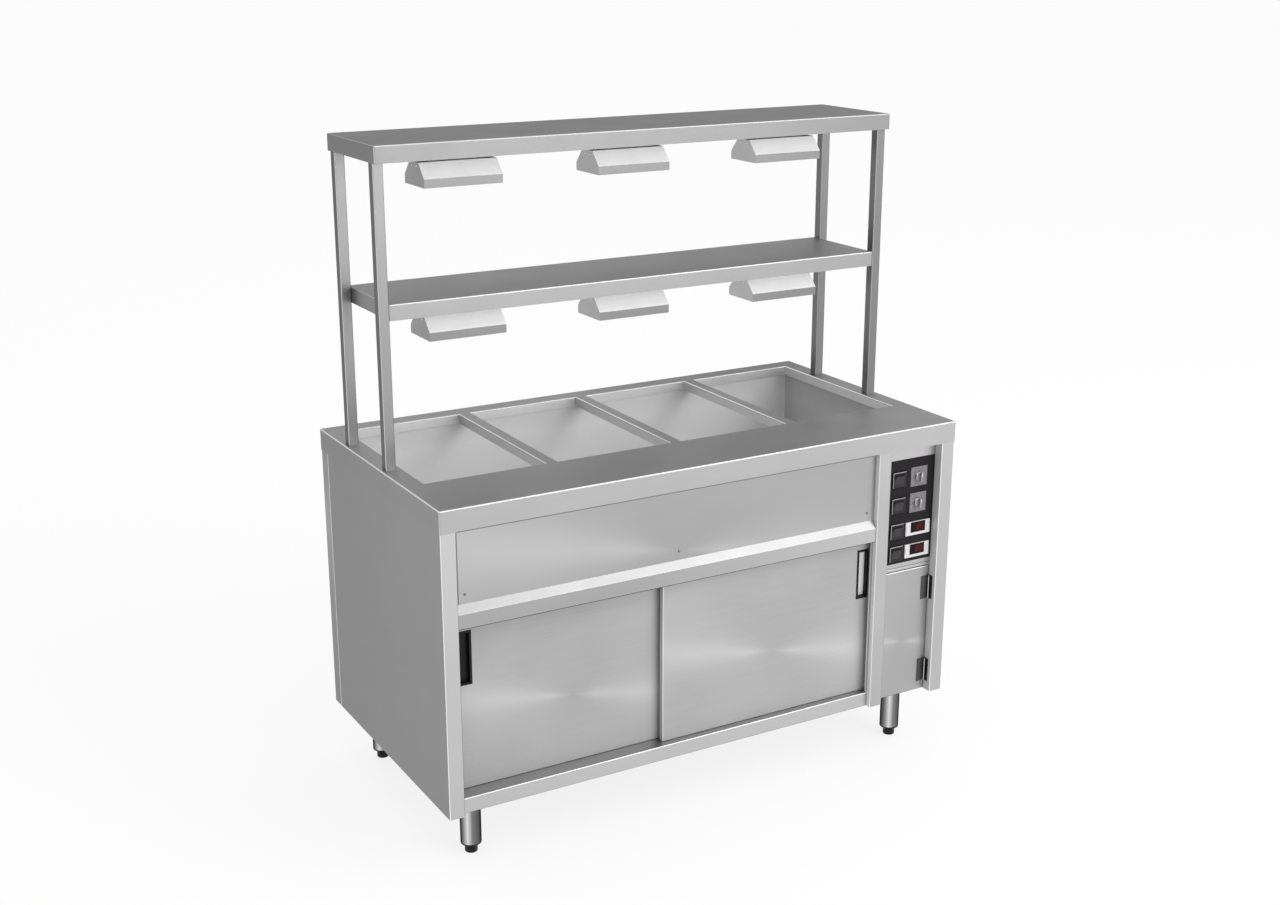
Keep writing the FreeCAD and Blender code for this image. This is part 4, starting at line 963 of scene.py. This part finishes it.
def hood_rivets(finish):
    """Two low rivet heads on each end of every hood."""
    work = bmesh.new()
    for bottom in hood_bottoms():
        z = bottom + lamp_height - rivet_drop
        for centre in lamp_centres():
            for side in (LEFT, RIGHT):
                x = centre + side * lamp_length / 2
                for spread in (-rivet_spread, rivet_spread):
                    dome(work, (x, lamp_y + spread, z), (side, 0, 0), rivet_radius, rivet_height)
    mesh = bpy.data.meshes.new("hood_rivets")
    bmesh.ops.recalc_face_normals(work, faces=work.faces)
    work.to_mesh(mesh)
    work.free()
    mesh.shade_smooth()
    put("hood_rivets", mesh, finish, "root")


def filaments():
    """Coiled wire inside every quartz tube."""
    wire = dark_metal("filament_wire", filament_colours, filament_roughness)
    for row, bottom in enumerate(hood_bottoms(), 1):
        for place, centre in enumerate(lamp_centres(), 1):
            coil = bpy.data.curves.new("filament_%d_%d" % (row, place), "CURVE")
            coil.dimensions = "3D"
            coil.bevel_depth = filament_wire
            coil.bevel_resolution = 1
            line = coil.splines.new("POLY")
            count = filament_turns * filament_sides
            line.points.add(count)
            for index in range(count + 1):
                share = index / count
                angle = share * filament_turns * TURN
                line.points[index].co = (centre + (share - 0.5) * filament_length,
                                         lamp_y + filament_radius * math.cos(angle),
                                         bottom + tube_rise + filament_radius * math.sin(angle), 1)
            coil.materials.append(wire)
            piece = bpy.data.objects.new(coil.name, coil)
            bpy.context.scene.collection.objects.link(piece)
            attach(piece, "root")


# Steel liner in the right door's pull

liner_margin = 0.0007
liner_thickness = 0.0008
liner_corner = 0.0015
liner_noise_scale = 200.0
liner_shine = 0.2
liner_tone = 0.85
cup_inset = 0.0059
cup_depth = 0.0112


def dull(tree):
    """Little shine of its own."""
    return tree.noise(tree.place(), liner_noise_scale) * liner_shine


def pull_liner():
    """Pale plate at the back of the pull's cup."""
    finish = satin_steel("liner_steel", ALONG_Z, liner_tone, metal=dull)
    low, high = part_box("right_door_pull")
    inset = cup_inset + liner_margin
    back = low.y + cup_depth
    outline = rounded(low.x + inset, high.x - inset, low.z + inset, high.z - inset, liner_corner)
    mesh = plates("right_pull_liner", [outline], back - liner_thickness, back)
    put("right_pull_liner", mesh, finish, "right_door")


# Floor, light and camera

def studio_floor():
    """Wide pale floor, white where it is seen, mirrored or looked at through glass."""
    made, tree = material("studio_floor")
    path = tree.add("LightPath", {}, {})
    through = path.output("Is Glossy Ray").most(path.output("Is Transmission Ray"))
    seen = path.output("Is Camera Ray").most(through)
    plain = tree.add("BsdfDiffuse", {}, {"Color": floor_colour})
    glow = tree.add("Emission", {}, {"Color": (1, 1, 1, 1), "Strength": floor_white})
    white = tree.add("MixShader", {}, {0: floor_glow, 1: plain, 2: glow})
    tree.surface(tree.add("MixShader", {}, {0: seen, 1: plain, 2: white}))
    bpy.ops.mesh.primitive_plane_add(size=floor_size)
    floor = bpy.context.object
    floor.name = "studio_floor"
    floor.data.materials.append(made)


def studio_sky():
    """Grey surroundings that are bright overhead."""
    world = bpy.data.worlds.new("studio_sky")
    bpy.context.scene.world = world
    tree = Tree(world)
    direction = tree.add("TexCoord", {}, {}).output("Generated")
    height = tree.split(direction)[2]
    colour = tree.mix(height.rise(*sky_band), sky_low, sky_high)
    background = tree.add("Background", {}, {"Color": colour, "Strength": 1.0})
    tree.add("OutputWorld", {}, {"Surface": background})


def softbox(name, place, width, height, power):
    """Soft rectangular light that is aimed at the object."""
    lamp = bpy.data.lights.new(name, "AREA")
    lamp.shape = "RECTANGLE"
    lamp.size = width
    lamp.size_y = height
    lamp.energy = power
    holder = bpy.data.objects.new(name, lamp)
    holder.location = place
    aim = Vector(light_aim) - Vector(place)
    holder.rotation_euler = aim.to_track_quat("-Z", "Y").to_euler()
    holder.visible_camera = False
    bpy.context.scene.collection.objects.link(holder)


def photo_camera():
    lens = bpy.data.cameras.new("photo_camera")
    lens.lens = camera_lens
    lens.sensor_width = sensor_width
    lens.clip_end = floor_size
    camera = bpy.data.objects.new("photo_camera", lens)
    camera.location = camera_place
    camera.rotation_euler = (QUARTER - math.radians(camera_tilt), 0, -math.radians(camera_turn))
    bpy.context.scene.collection.objects.link(camera)
    bpy.context.scene.camera = camera


bpy.context.scene.view_settings.view_transform = "Standard"
photo_camera()
studio_floor()
studio_sky()
softbox("front_softbox", **front_softbox)
softbox("key_softbox", **key_softbox)
dress_nodes()
displays()
dial_scales()
hood_rivets(satin_steel("bright_steel", ALONG_Y, bright_tone))
pull_liner()
filaments()
